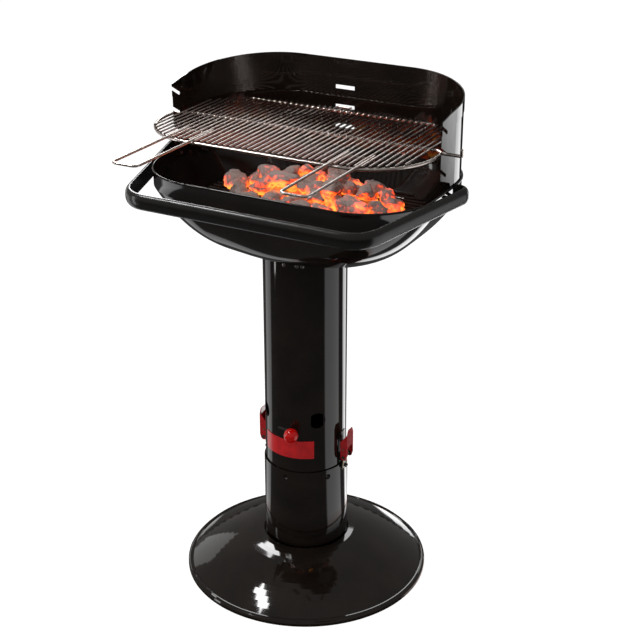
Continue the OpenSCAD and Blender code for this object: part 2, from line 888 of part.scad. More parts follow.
// Directions of all swept points, with a point at each end of each corner
bowl_angles = let (back = corner_angles(bowl_back, bowl_back_r),
        front = corner_angles(bowl_front, bowl_corner_r),
        last = bowl_corner_steps)
    concat(back, end_angles(back[last]), [for (i = [last:-1:0]) 180 - back[i]], [180],
        [for (a = front) 180 + a], [for (a = end_angles(front[last])) 180 + a],
        [for (i = [last:-1:0]) 360 - front[i]], [360]);

// One point of the bowl's skin: across is how far the sheet lies inside the outer skin
function bowl_point(a, lean, across) = let (
        reach = bowl_flat_r + (wall_reach(a) - bowl_flat_r) * pow(cos(lean), bowl_power_r),
        r = reach - across * cos(lean),
        z = band_z - bowl_sink * pow(sin(lean), bowl_power_z) + across * sin(lean))
    [r * cos(a), r * sin(a), z];

// One closed section of the bowl's sheet in a direction
function bowl_section(a) = let (reach = wall_reach(a), c = cos(a), s = sin(a)) concat(
    [[bowl_in_r * c, bowl_in_r * s, bowl_z]],
    [for (i = [bowl_rings:-1:0]) bowl_point(a, i * 90 / bowl_rings, 0)],
    [for (p = [[0, 2 * rim_roll], [0.7 * rim_roll, 1.7 * rim_roll], [rim_roll, rim_roll],
            [0.7 * rim_roll, 0.3 * rim_roll], [0, 0], [-bowl_t, 0.4 * rim_roll]])
        [(reach + p[0]) * c, (reach + p[0]) * s, rim_z - p[1]]],
    [for (i = [0:bowl_rings]) bowl_point(a, i * 90 / bowl_rings, bowl_t)],
    [[bowl_in_r * c, bowl_in_r * s, bowl_z + bowl_t]]);

module bowl_shell() {
    sections = [for (a = bowl_angles) bowl_section(a)];
    m = len(sections);
    k = len(sections[0]);
    polyhedron(
        points = [for (section = sections, p = section) p],
        faces = [for (i = [0:m - 1], j = [0:k - 1], half = [0, 1])
            let (a = i * k + j, b = i * k + (j + 1) % k,
                d = ((i + 1) % m) * k + j, e = ((i + 1) % m) * k + (j + 1) % k)
            half == 0 ? [a, d, b] : [b, d, e]]);
}

module bowl() {
    color("#1c1613")
        difference() {
            bowl_shell();
            translate([0, 0, bowl_z - cut])
                cylinder(r = bowl_hole_r, h = bowl_t + 2 * cut, $fn = 96);
            for (side = [-1, 1])
                cross_bar(screw_d / 2 + fit_gap, side * shield_screw_x, bowl_back - bowl_t - cut,
                    bowl_back + cut, rim_z - shield_screw_drop);
            for (side = [0, 1])
                mirror([side, 0, 0]) {
                    translate([0, post_y, 0])
                        radial_bar(bar_bolt_d + 2 * fit_gap, bowl_half_w - bowl_t - cut,
                            bowl_half_w + cut, post_z);
                    translate([0, shield_screw_y, 0])
                        radial_bar(screw_d + 2 * fit_gap, bowl_half_w - bowl_t - cut,
                            bowl_half_w + cut, rim_z - shield_screw_drop);
                }
        }
}

// Flanged ring that joins the bowl to the column
module bowl_collar() {
    color("#2a2725")
        difference() {
            rotate_extrude()
                polygon([[collar_r, bowl_z - collar_h], [collar_r, bowl_z + bowl_t],
                    [collar_flange_r, bowl_z + bowl_t],
                    [collar_flange_r, bowl_z + bowl_t + collar_t],
                    [collar_r - collar_t, bowl_z + bowl_t + collar_t],
                    [collar_r - collar_t, bowl_z - collar_h]]);
            for (angle = collar_angles)
                at_front(angle)
                    radial_bar(screw_d + 2 * fit_gap, collar_r - collar_t - cut, collar_r + cut,
                        bowl_z - screw_drop);
        }
}

module collar_screws() {
    color("#3d3a38")
        for (angle = collar_angles)
            at_front(angle) {
                radial_bar(screw_d, collar_r - collar_t - screw_tail, column_r + screw_head_h / 2,
                    bowl_z - screw_drop);
                radial_bar(screw_head_d, column_r, column_r + screw_head_h / 2, bowl_z - screw_drop);
                translate([column_r + screw_head_h / 2, 0, bowl_z - screw_drop])
                    rotate([0, 90, 0])
                        cylinder(d1 = screw_head_d, d2 = screw_head_d / 2, h = screw_head_h / 2);
            }
}

// Section of the bumper bar: a flat inner face at x = 0 and a round outer face
module bar_section(inset) {
    steps = 12;
    polygon([for (i = [-steps:steps]) let (a = i * 90 / steps)
        [inset + (bar_depth - 2 * inset) * pow(cos(a), bar_round), (bar_h / 2 - inset) * sin(a)]]);
}

module bar_ring_section() {
    difference() {
        bar_section(0);
        bar_section(bar_t);
    }
}

// Plug inside the bumper bar, which closes an end or joins two lengths across a fine seam
module bar_plug() {
    linear_extrude(height = bar_cap)
        bar_section(bar_t / 2);
}

// Bend, leg and turned-in end of the bumper bar on the +X side, level
module bar_side() {
    end_l = bar_turn_x - bar_end_x;
    translate([bar_corner_x, bar_corner_y, 0]) {
        rotate([0, 0, -90])
            rotate_extrude(angle = 90 - bar_spread)
                translate([bar_corner_r, 0])
                    bar_ring_section();
        rotate([0, 0, -bar_spread]) {
            translate([bar_corner_r, bar_leg, 0])
                rotate([90, 0, 0])
                    linear_extrude(height = bar_leg - bar_seam)
                        bar_ring_section();
            translate([bar_corner_r, bar_cap / 2, 0])
                rotate([90, 0, 0])
                    bar_plug();
            translate([bar_corner_r - bar_turn_r, bar_leg, 0]) {
                rotate_extrude(angle = 90 + bar_spread)
                    translate([bar_turn_r, 0])
                        bar_ring_section();
                rotate([0, 0, bar_spread])
                    translate([-end_l, bar_turn_r, 0])
                        rotate([90, 0, 90]) {
                            linear_extrude(height = end_l - bar_seam)
                                bar_ring_section();
                            bar_plug();
                            translate([0, 0, end_l - bar_cap / 2])
                                bar_plug();
                        }
            }
        }
    }
}

// Puts a shape made level at the bar's front height onto the bar's slope
module on_bar_slope() {
    translate([0, bar_inner_y, bar_z])
        rotate([bar_slope, 0, 0])
            translate([0, -bar_inner_y, 0])
                children();
}

module handle_bar() {
    color("#171616")
        on_bar_slope() {
            translate([-bar_corner_x, bar_inner_y, 0])
                rotate([90, 0, 90])
                    mirror([1, 0, 0])
                        linear_extrude(height = 2 * bar_corner_x)
                            bar_ring_section();
            for (side = [0, 1])
                mirror([side, 0, 0])
                    bar_side();
        }
}

// Stand-offs between the bowl's sides and the bar's ends
module handle_posts() {
    bore = bar_bolt_d + 2 * fit_gap;
    color("#201e1d")
        for (side = [0, 1])
            mirror([side, 0, 0])
                translate([0, post_y, 0])
                    difference() {
                        radial_bar(bar_post_d, bowl_half_w, bar_end_x, post_z);
                        radial_bar(bore, bowl_half_w - cut, bar_end_x + cut, post_z);
                    }
}

module handle_bolts() {
    head_x = post_wall_x - bowl_t;
    color("#4a4745")
        for (side = [0, 1])
            mirror([side, 0, 0])
                translate([0, post_y, 0]) {
                    radial_bar(bar_bolt_d, head_x - bar_bolt_head_h, bar_end_x - fit_gap, post_z);
                    radial_bar(bar_bolt_head_d, head_x - bar_bolt_head_h, head_x, post_z);
                }
}

// Plan outline of the shield's outer face, moved out by an amount, from the front edges back
module shield_plan(out) {
    r = shield_corner_r + out;
    w = shield_half_w + out;
    back = shield_back + out;
    union() {
        translate([-w, -shield_front_y])
            square([2 * w, shield_front_y + shield_corner_y]);
        translate([-w + r, shield_corner_y - cut])
            square([2 * w - 2 * r, back - shield_corner_y + cut]);
        for (side = [-1, 1])
            translate([side * (w - r), shield_corner_y])
                circle(r = r, $fn = 96);
    }
}

// Side view of the shield's sheet between a drop below the top edge and the top edge
module shield_side(low_front, low_back, nose_low) {
    y1 = shield_back + shield_past;
    top_slope = (shield_back_z - shield_front_z) / (shield_back - shield_slope_y);
    rotate([90, 0, 90])
        translate([0, 0, -far / 2])
            linear_extrude(height = far)
                polygon([[-shield_front_y, nose_low],
                    [-shield_front_y, shield_front_z - shield_nose_drop],
                    [shield_slope_y, shield_front_z],
                    [y1, shield_back_z + shield_past * top_slope],
                    [y1, low_back],
                    [shield_slope_y, low_front]]);
}

module shield_wall(out, thick, z0, z1) {
    translate([0, 0, z0])
        linear_extrude(height = z1 - z0)
            difference() {
                shield_plan(out);
                difference() {
                    shield_plan(out - thick);
                    translate([-far / 2, -shield_front_y - far])
                        square([far, far]);
                }
            }
}

module wind_shield() {
    z1 = shield_back_z + 2 * cut;
    color("#241c1a")
        difference() {
            union() {
                intersection() {
                    shield_wall(0, shield_t, shield_low_z, z1);
                    shield_side(shield_low_z - cut, shield_low_z - cut, shield_low_z - cut);
                }
                intersection() {
                    shield_wall(band_out, shield_t, shield_front_z - band_below, z1);
                    shield_side(shield_front_z - band_w, shield_back_z - band_w,
                        shield_front_z - shield_nose_drop - band_w);
                }
            }
            translate([-far / 2, -far - shield_front_y, 0])
                cube([far, far, far]);
            shield_slots();
        }
}

module shield_slots() {
    for (z = slot_end_z)
        translate([-far / 2, rod_y, z])
            rotate([90, 0, 90])
                linear_extrude(height = far)
                    rotate(90 - slot_slope) {
                        circle(d = slot_w);
                        translate([-slot_w / 2 + fit_gap, 0])
                            square([slot_w - 2 * fit_gap, 2 * slot_reach]);
                    }
    for (i = [0:slot_count - 1])
        translate([-back_slot_left - back_slot_w / 2, shield_back - 4 * shield_t,
            back_slot_z + slot_pitch * (grate_level - i)])
            cube([back_slot_w, 8 * shield_t, back_slot_h]);
    for (side = [0, 1])
        mirror([side, 0, 0])
            translate([0, shield_screw_y, 0])
                radial_bar(screw_d + 2 * fit_gap, shield_half_w - 2 * cut, shield_half_w + cut,
                    rim_z - shield_screw_drop);
    for (side = [-1, 1])
        cross_bar(screw_d / 2 + fit_gap, side * shield_screw_x, shield_back - 2 * cut,
            shield_back + cut, rim_z - shield_screw_drop);
}

module shield_screws() {
    z = rim_z - shield_screw_drop;
    head = shield_t + screw_head_h;
    color("#4a4745") {
        for (side = [0, 1])
            mirror([side, 0, 0])
                translate([0, shield_screw_y, 0]) {
                    radial_bar(screw_d, shield_half_w - head, bowl_half_w + shield_nut_h + cut, z);
                    radial_bar(screw_head_d, shield_half_w - head, shield_half_w - shield_t, z);
                }
        for (side = [-1, 1]) {
            cross_bar(screw_d / 2, side * shield_screw_x, shield_back - head,
                bowl_back + shield_nut_h + cut, z);
            cross_bar(screw_head_d / 2, side * shield_screw_x, shield_back - head,
                shield_back - shield_t, z);
        }
    }
}

module shield_nut() {
    difference() {
        cylinder(d = shield_nut_d, h = shield_nut_h, $fn = 6);
        translate([0, 0, -cut])
            cylinder(d = screw_d + 2 * fit_gap, h = shield_nut_h + 2 * cut);
    }
}

module shield_nuts() {
    z = rim_z - shield_screw_drop;
    color("#4a4745") {
        for (side = [0, 1])
            mirror([side, 0, 0])
                translate([bowl_half_w, shield_screw_y, z])
                    rotate([0, 90, 0])
                        shield_nut();
        for (side = [-1, 1])
            translate([side * shield_screw_x, bowl_back, z])
                rotate([-90, 0, 0])
                    shield_nut();
    }
}

// Cooking grate: wire frame round the front, rods across and bars from front to back
module grate_frame() {
    side_y = -frame_front + frame_corner_r;
    front_x = frame_half_w - frame_corner_r;
    color("#c9c5c2")
        translate([grate_side, 0, rod_z]) {
            translate([-front_x, -frame_front, 0])
                rotate([0, 90, 0])
                    cylinder(r = frame_wire_r, h = 2 * front_x);
            for (side = [0, 1])
                mirror([side, 0, 0]) {
                    wire_bend(frame_wire_r, frame_corner_r, front_x, side_y, 0, -90);
                    cross_bar(frame_wire_r, frame_half_w, side_y, frame_end_y, 0);
                    translate([frame_half_w, frame_end_y, 0])
                        sphere(r = frame_wire_r);
                }
        }
}

function bar_front_end(x) = let (cx = frame_half_w - frame_corner_r, d = abs(x) - cx)
    -(d <= 0 ? frame_front : frame_front - frame_corner_r
        + sqrt(pow(frame_corner_r, 2) - d * d)) - bar_overhang;

function bar_back_end(x) = let (d = abs(x) - back_corner_x)
    d <= 0 ? back_corner_y + back_corner_r : back_corner_y + sqrt(pow(back_corner_r, 2) - d * d);

module grate_bars() {
    color("#cfccc9")
        for (i = [0:bar_count - 1]) {
            x = (i - (bar_count - 1) / 2) * bar_pitch;
            cross_bar(grate_bar_r, grate_side + x, bar_front_end(x), bar_back_end(x), grate_bar_z);
        }
}

// Middle rod: it ends over the frame's left wire and stands out on the right
module grate_mid_rod() {
    left = grate_side - frame_half_w;
    path = [[left, 0], [-rod_bend_x, 0], [rod_bend_l - rod_bend_x, rod_bow],
        [rod_bend_x - rod_bend_l, rod_bow], [rod_bend_x, 0], [arm_end, 0]];
    color("#c9c5c2")
        translate([0, rod_y, rod_z]) {
            for (i = [1:len(path) - 1])
                wire_level(frame_wire_r, path[i - 1][0], path[i - 1][1], path[i][0], path[i][1]);
            translate([arm_end, 0, 0]) {
                cylinder(r = frame_wire_r, h = arm_hook_h);
                translate([0, 0, arm_hook_h])
                    sphere(r = frame_wire_r);
            }
        }
}

module grate_back_rod() {
    color("#c9c5c2")
        translate([grate_side - back_rod_half, back_rod_y, rod_z])
            rotate([0, 90, 0])
                cylinder(r = frame_wire_r, h = 2 * back_rod_half);
}

// Wire loop at the back that hooks into a back slot
module grate_rear_tab() {
    start_y = back_rod_y - frame_wire_r;
    color("#c9c5c2")
        translate([-back_slot_left, 0, tab_z]) {
            for (side = [-1, 1]) {
                cross_bar(tab_wire_r, side * tab_half, start_y, tab_end_y, 0);
                translate([side * tab_half, tab_end_y, 0])
                    sphere(r = tab_wire_r);
            }
            translate([-tab_half, tab_end_y, 0])
                rotate([0, 90, 0])
                    cylinder(r = tab_wire_r, h = 2 * tab_half);
        }
}

// Carrying handle of the grate, on the +X side
module grate_handle() {
    front_y = -handle_front + handle_r;
    translate([0, 0, handle_z]) {
        for (x = [handle_x_in, handle_x_out]) {
            cross_bar(handle_wire_r, x, front_y, -handle_tie, 0);
            translate([x, -handle_tie, 0])
                sphere(r = handle_wire_r);
        }
        wire_bend(handle_wire_r, handle_r, handle_x_in + handle_r, front_y, 0, 180);
        wire_bend(handle_wire_r, handle_r, handle_x_out - handle_r, front_y, 0, 270);
        translate([handle_x_in + handle_r, -handle_front, 0])
            rotate([0, 90, 0])
                cylinder(r = handle_wire_r, h = handle_x_out - handle_x_in - 2 * handle_r);
    }
}

module grate_handle_right() {
    color("#d2cfcc")
        translate([grate_side, 0, 0])
            grate_handle();
}

module grate_handle_left() {
    color("#d2cfcc")
        translate([grate_side, 0, 0])
            mirror([1, 0, 0])
                grate_handle();
}

module grate_handle_ties() {
    color("#c9c5c2")
        for (side = [0, 1])
            translate([grate_side, 0, 0])
                mirror([side, 0, 0])
                    translate([handle_x_in - tie_over, -handle_tie - tie_over, tie_z])
                        rotate([0, 90, 0])
                            cylinder(r = handle_wire_r, h = handle_x_out - handle_x_in + 2 * tie_over);
}

// Charcoal grate: ring, two rods, four legs on the collar's flange, and bars
module charcoal_grate_ring() {
    fx = fire_half_w - fire_corner_r;
    fy = fire_half_d - fire_corner_r;
    color("#4b4643") {
        translate([0, fire_mid_y, fire_ring_z]) {
            for (side = [-1, 1]) {
                translate([-fx, side * fire_half_d, 0])
                    rotate([0, 90, 0])
                        cylinder(r = fire_ring_r, h = 2 * fx);
                cross_bar(fire_ring_r, side * fire_half_w, -fy, fy, 0);
                cross_bar(fire_ring_r, side * fire_leg, -fire_half_d, fire_half_d, 0);
            }
            wire_bend(fire_ring_r, fire_corner_r, fx, fy, 0, 0);
            wire_bend(fire_ring_r, fire_corner_r, -fx, fy, 0, 90);
            wire_bend(fire_ring_r, fire_corner_r, -fx, -fy, 0, 180);
            wire_bend(fire_ring_r, fire_corner_r, fx, -fy, 0, 270);
        }
        for (x = [-fire_leg, fire_leg], y = [-fire_leg, fire_leg])
            translate([x, y, fire_leg_z])
                cylinder(r = fire_ring_r / 2, h = fire_ring_z - fire_leg_z);
    }
}

module charcoal_grate_bars() {
    fx = fire_half_w - fire_corner_r;
    fy = fire_half_d - fire_corner_r;
    count = floor(fire_half_d / fire_pitch);
    color("#4b4643")
        for (i = [-count:count]) {
            y = i * fire_pitch;
            d = abs(y) - fy;
            half = d <= 0 ? fire_half_w : fx + sqrt(pow(fire_corner_r, 2) - d * d);
            translate([-half, fire_mid_y + y, fire_bar_z])
                rotate([0, 90, 0])
                    cylinder(r = fire_bar_r, h = 2 * half);
        }
}

// Coals: lumps with uneven faces, heaped in rings over the charcoal grate
function coal_points(seed, rx, ry, rz) = let (q = rands(0.8, 1.08, 14, seed)) concat(
    [for (i = [0:5]) let (a = i * 60) [q[i] * rx * cos(a), q[i] * ry * sin(a), -0.25 * rz * q[i]]],
    [for (i = [0:3]) let (a = i * 90 + 40)
        [0.72 * q[6 + i] * rx * cos(a), 0.72 * q[6 + i] * ry * sin(a), rz * q[6 + i]]],
    [for (i = [0:3]) let (a = i * 90 + 15)
        [0.7 * q[10 + i] * rx * cos(a), 0.7 * q[10 + i] * ry * sin(a), -rz * q[10 + i]]]);

module coal(seed) {
    v = rands(0, 1, 6, seed + 500);
    r = coal_d / 2 * (0.85 + 0.35 * v[0]);
    rotate([40 * (v[1] - 0.5), 40 * (v[2] - 0.5), 360 * v[3]])
        hull()
            polyhedron(
                points = coal_points(seed, r * (1 + 0.35 * v[4]), r, r * (0.72 + 0.2 * v[5])),
                faces = [[0, 1, 2, 3, 4, 5], [6, 7, 8, 9], [10, 11, 12, 13]]);
}

// One ring of the heap: a share of its outer size, its height and its number of coals
heap_rings = [[1, 0.16, 20], [0.68, 0.24, 13], [0.34, 0.22, 7], [0.78, 0.5, 12], [0.44, 0.62, 8],
    [0.1, 0.6, 3], [0.2, 0.74, 3]];

module charcoal_lumps() {
    reach = heap_rx - coal_d / 2;
    color("#8b4a35")
        intersection() {
            translate([heap_x, heap_y, 0])
                union()
                    for (k = [0:len(heap_rings) - 1], i = [0:heap_rings[k][2] - 1]) {
                        ring = heap_rings[k];
                        seed = coal_seed + coal_seed_step * k + i;
                        w = rands(-1, 1, 3, seed + 900);
                        a = 360 * (i + 0.25 * w[0]) / ring[2] + coal_ring_turn * k;
                        translate([ring[0] * reach * cos(a), ring[0] * (heap_ry - coal_d / 2) * sin(a),
                            fire_top_z + heap_h * ring[1] + coal_stray * w[1] + coal_lift])
                            coal(seed);
                    }
            translate([-far / 2, -far / 2, fire_top_z + weld_gap])
                cube([far, far, heap_h]);
        }
}

base_foot();
pot_bolt();
pot_nut();
ash_pot();
catch_left();
catch_right();
catch_rivets();
column_tube();
label_plate();
bracket_left();
bracket_right();
bracket_rivets();
pivot_pins_left();
pivot_pins_right();
bowl();
bowl_collar();
collar_screws();
handle_bar();
handle_posts();
handle_bolts();
wind_shield();
shield_screws();
shield_nuts();
damper_ring();
damper_stud();
damper_knob();
lever_left();
lever_right();
bail_left();
bail_right();
grate_frame();
grate_bars();
grate_mid_rod();
grate_back_rod();
grate_rear_tab();
grate_handle_left();
grate_handle_right();
grate_handle_ties();
charcoal_grate_ring();
charcoal_grate_bars();
charcoal_lumps();
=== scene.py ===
"""Looks of a pedestal charcoal grill: finishes, a fine bowl, live coals, studio light and the camera."""

import json
import logging
import math
import random
from dataclasses import dataclass
from enum import Enum
from itertools import product
from typing import Any

import bpy
import numpy as np
from mathutils import Matrix, Vector, noise

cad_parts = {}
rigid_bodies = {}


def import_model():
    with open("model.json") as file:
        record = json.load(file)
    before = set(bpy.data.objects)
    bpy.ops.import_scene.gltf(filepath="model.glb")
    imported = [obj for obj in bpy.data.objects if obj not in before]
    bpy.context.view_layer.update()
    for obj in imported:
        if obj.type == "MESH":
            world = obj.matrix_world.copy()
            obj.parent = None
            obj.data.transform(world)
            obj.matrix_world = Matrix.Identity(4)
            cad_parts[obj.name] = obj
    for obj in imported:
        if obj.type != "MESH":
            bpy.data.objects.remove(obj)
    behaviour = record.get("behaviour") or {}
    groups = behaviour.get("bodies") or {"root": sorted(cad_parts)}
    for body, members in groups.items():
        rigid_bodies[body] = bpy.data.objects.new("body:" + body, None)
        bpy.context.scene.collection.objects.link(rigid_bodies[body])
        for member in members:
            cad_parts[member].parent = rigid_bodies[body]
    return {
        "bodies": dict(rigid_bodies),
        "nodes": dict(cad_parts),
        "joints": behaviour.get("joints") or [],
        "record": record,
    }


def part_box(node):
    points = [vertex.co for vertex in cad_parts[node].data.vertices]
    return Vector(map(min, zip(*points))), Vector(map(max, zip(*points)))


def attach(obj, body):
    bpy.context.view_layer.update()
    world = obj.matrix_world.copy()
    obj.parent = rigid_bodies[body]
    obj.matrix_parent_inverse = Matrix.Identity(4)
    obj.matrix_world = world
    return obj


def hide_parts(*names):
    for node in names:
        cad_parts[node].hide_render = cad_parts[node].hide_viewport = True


LOG = logging.getLogger("grill")
MM = 0.001
TINY = 1e-6
ANGLE_DIGITS = 6
WHITE = "#ffffff"
# Numbers of a mix node's colour sockets.
MIX_FIRST, MIX_SECOND, MIX_RESULT = 6, 7, 2
# Nearly every value of the noise texture lies between these two.
NOISE_LOW, NOISE_HIGH = 0.3, 0.7

Colour = tuple[float, float, float, float]
Pair = tuple[float, float]
Triple = tuple[float, float, float]
Lump = tuple[float, float, float, float]
Tree = bpy.types.NodeTree
Node = bpy.types.Node
Socket = bpy.types.NodeSocket


def linear(code: str) -> Colour:
    """Turns an sRGB hex colour to linear light.

    Args:
        code: The colour as "#rrggbb".

    Returns:
        Linear red, green, blue and an alpha of 1.
    """
    parts = [int(code[i:i + 2], 16) / 255 for i in (1, 3, 5)]
    red, green, blue = (p / 12.92 if p <= 0.04045 else ((p + 0.055) / 1.055) ** 2.4 for p in parts)
    return red, green, blue, 1.0


def per_metre(size_mm: float) -> float:
    """Texture scale of a pattern whose features are size_mm apart."""
    return 1 / MM / size_mm


def put_in_scene(name: str, data: bpy.types.ID) -> bpy.types.Object:
    """Makes an object that holds the data, puts it in the scene and returns it."""
    made = bpy.data.objects.new(name, data)
    bpy.context.scene.collection.objects.link(made)
    return made


def empty_tree(owner: bpy.types.Material | bpy.types.World) -> Tree:
    """Turns on the nodes of a material or a world, clears them and returns their tree."""
    owner.use_nodes = True
    owner.node_tree.nodes.clear()
    return owner.node_tree


def feed(tree: Tree, node: Node, inputs: dict[Any, Any]) -> None:
    """Sets or links the inputs of a node.

    Args:
        tree: The tree that holds the node.
        node: The node.
        inputs: Input name or number, with the value or the socket that feeds it.
    """
    for key, value in inputs.items():
        if isinstance(value, Socket):
            tree.links.new(value, node.inputs[key])
        else:
            node.inputs[key].default_value = value


def add_node(tree: Tree, kind: str, inputs: dict[Any, Any] | None = None, **settings: Any) -> Node:
    """Adds a node with its settings and links.

    Args:
        tree: The node tree to add to.
        kind: Blender's name for the node.
        inputs: Input name or number, with the value or the socket that feeds it.
        settings: The node's own properties.

    Returns:
        The new node.
    """
    node = tree.nodes.new(kind)
    for name, value in settings.items():
        setattr(node, name, value)
    feed(tree, node, inputs or {})
    return node


def compute(tree: Tree, operation: str, *values: float | Socket) -> Socket:
    """Works out one operation on numbers or sockets and returns the socket of the result."""
    return add_node(tree, "ShaderNodeMath", dict(enumerate(values)), operation=operation).outputs[0]


def total(tree: Tree, *values: Socket) -> Socket:
    """Adds values up, in their order, and returns the socket of the sum."""
    result = values[0]
    for value in values[1:]:
        result = compute(tree, "ADD", result, value)
    return result


def ramp(tree: Tree, value: Socket, source: Pair, target: Pair = (0.0, 1.0), **settings: Any) -> Socket:
    """Turns a value's range into another range, and keeps what lies beyond at its ends.

    Args:
        tree: The node tree.
        value: The value.
        source: Where the value starts and stops.
        target: What these two become.
        settings: The node's own properties, such as its interpolation.

    Returns:
        The socket of the new value.
    """
    inputs = {"Value": value, "From Min": source[0], "From Max": source[1],
              "To Min": target[0], "To Max": target[1]}
    return add_node(tree, "ShaderNodeMapRange", inputs, **settings).outputs[0]


def blend(tree: Tree, share: Socket, first: str | Socket, second: str | Socket) -> Socket:
    """Mixes two colours.

    Args:
        tree: The node tree.
        share: How much of the second colour shows, from 0 to 1.
        first: The first colour, as a hex code or a socket.
        second: The second colour, in the same way.

    Returns:
        The socket of the mixed colour.
    """
    start, end = (linear(c) if isinstance(c, str) else c for c in (first, second))
    mix = add_node(tree, "ShaderNodeMix", {0: share, MIX_FIRST: start, MIX_SECOND: end}, data_type="RGBA")
    return mix.outputs[MIX_RESULT]


def clouds(tree: Tree, place: Socket, size_mm: float, limits: Pair = (0.0, 1.0),
           detail: float = 3.0) -> Socket:
    """A soft cloudy value between two limits.

    Args:
        tree: The node tree.
        place: Coordinates of the pattern, in metres.
        size_mm: Size of a cloud.
        limits: Lowest and highest value.
        detail: How much finer cloud is laid over the first.

    Returns:
        The socket of the value.
    """
    inputs = {"Vector": place, "Scale": per_metre(size_mm), "Detail": detail}
    cloud = add_node(tree, "ShaderNodeTexNoise", inputs)
    return ramp(tree, cloud.outputs[0], (NOISE_LOW, NOISE_HIGH), limits)


def bump(tree: Tree, shader: Node, height: Socket, depth_mm: float) -> None:
    """Bumps a shader's surface by a height, depth_mm from its lowest to its highest."""
    raised = add_node(tree, "ShaderNodeBump",
                      {"Height": height, "Distance": depth_mm * MM, "Strength": 1.0})
    feed(tree, shader, {"Normal": raised.outputs[0]})


def by_ray(tree: Tree, seen: Node, mirrored: Node, around: Node) -> Socket:
    """Picks one of three shaders by the kind of ray that meets it.

    Args:
        tree: The node tree.
        seen: What the camera sees.
        mirrored: What shiny surfaces mirror.
        around: What gives light to all else.

    Returns:
        The socket of the picked shader.
    """
    ray = add_node(tree, "ShaderNodeLightPath")
    unseen = add_node(tree, "ShaderNodeMixShader",
                      {0: ray.outputs["Is Glossy Ray"], 1: around.outputs[0], 2: mirrored.outputs[0]})
    pick = add_node(tree, "ShaderNodeMixShader",
                    {0: ray.outputs["Is Camera Ray"], 1: unseen.outputs[0], 2: seen.outputs[0]})
    return pick.outputs[0]


@dataclass(frozen=True)
class Finish:
    """What every finish has: a name, its main colour and how rough it is."""

    name: str
    colour: str
    roughness: float

    def build(self) -> bpy.types.Material:
        """Makes the material and returns it."""
        material = bpy.data.materials.new(self.name)
        material.diffuse_color = linear(self.colour)
        tree = empty_tree(material)
        shader = add_node(tree, "ShaderNodeBsdfPrincipled",
                          {"Base Color": linear(self.colour), "Roughness": self.roughness})
        add_node(tree, "ShaderNodeOutputMaterial", {"Surface": shader.outputs["BSDF"]})
        place = add_node(tree, "ShaderNodeTexCoord").outputs["Object"]
        self.apply(tree, shader, place)
        return material

    def apply(self, tree: Tree, shader: Node, place: Socket) -> None:
        """Gives the shader what this kind of finish has beyond an even colour.

        Args:
            tree: The material's node tree.
            shader: The shader, with its colour and roughness set.
            place: The object's own coordinates, for patterns.
        """
        raise NotImplementedError

    def stain(self, tree: Tree, shader: Node, share: Socket, other: str) -> None:
        """Lets another colour show through the main one, by a share from 0 to 1."""
        feed(tree, shader, {"Base Color": blend(tree, share, self.colour, other)})

    def drift(self, tree: Tree, shader: Node, place: Socket, size_mm: float, shares: Pair) -> None:
        """Lets the roughness drift between two shares of itself, in clouds of size_mm."""
        limits = (self.roughness * shares[0], self.roughness * shares[1])
        feed(tree, shader, {"Roughness": clouds(tree, place, size_mm, limits)})


@dataclass(frozen=True)
class VitreousEnamel(Finish):
    """Porcelain enamel, dipped and fired on pressed steel.

    The eye sees warm black glass: sharp reflections that wave a little where the fired coat flowed, and
    faint patches where the coat is thinner and duller.
    """

    thin: str = "#1a1410"
    patch_mm: float = 70.0
    dull_mm: float = 34.0
    dull_shares: Pair = (0.85, 1.25)
    peel_mm: float = 34.0
    peel_depth_mm: float = 0.02

    def apply(self, tree: Tree, shader: Node, place: Socket) -> None:
        """Lays on the thin patches, the duller ones and the waves."""
        self.stain(tree, shader, clouds(tree, place, self.patch_mm), self.thin)
        self.drift(tree, shader, place, self.dull_mm, self.dull_shares)
        bump(tree, shader, clouds(tree, place, self.peel_mm, detail=1.0), self.peel_depth_mm)


@dataclass(frozen=True)
class PowderCoat(Finish):
    """Polyester powder, sprayed on and baked.

    The eye sees an even satin black with a fine grain that breaks up the highlights. The real grain is
    about 0.3 mm, too fine for the picture, so it is drawn at 1.6 mm.
    """

    dull_mm: float = 22.0
    dull_shares: Pair = (0.9, 1.15)
    grain_mm: float = 1.6
    grain_depth_mm: float = 0.03

    def apply(self, tree: Tree, shader: Node, place: Socket) -> None:
        """Lays on the duller patches and the grain."""
        self.drift(tree, shader, place, self.dull_mm, self.dull_shares)
        bump(tree, shader, clouds(tree, place, self.grain_mm, detail=2.0), self.grain_depth_mm)


@dataclass(frozen=True)
class GlossPaint(Finish):
    """Stoved gloss paint on steel sheet.

    The eye sees a saturated colour under a clear skin, a shade darker where the coat gathers.
    """

    deep: str = "#8a0d12"
    deep_share: float = 0.5
    coat: float = 0.6
    coat_roughness: float = 0.05
    patch_mm: float = 14.0
    peel_mm: float = 3.0
    peel_depth_mm: float = 0.02

    def apply(self, tree: Tree, shader: Node, place: Socket) -> None:
        """Lays on the clear skin, the darker patches and the skin's fine waves."""
        feed(tree, shader, {"Coat Weight": self.coat, "Coat Roughness": self.coat_roughness})
        self.stain(tree, shader, clouds(tree, place, self.patch_mm, (0.0, self.deep_share)), self.deep)
        bump(tree, shader, clouds(tree, place, self.peel_mm, detail=1.0), self.peel_depth_mm)


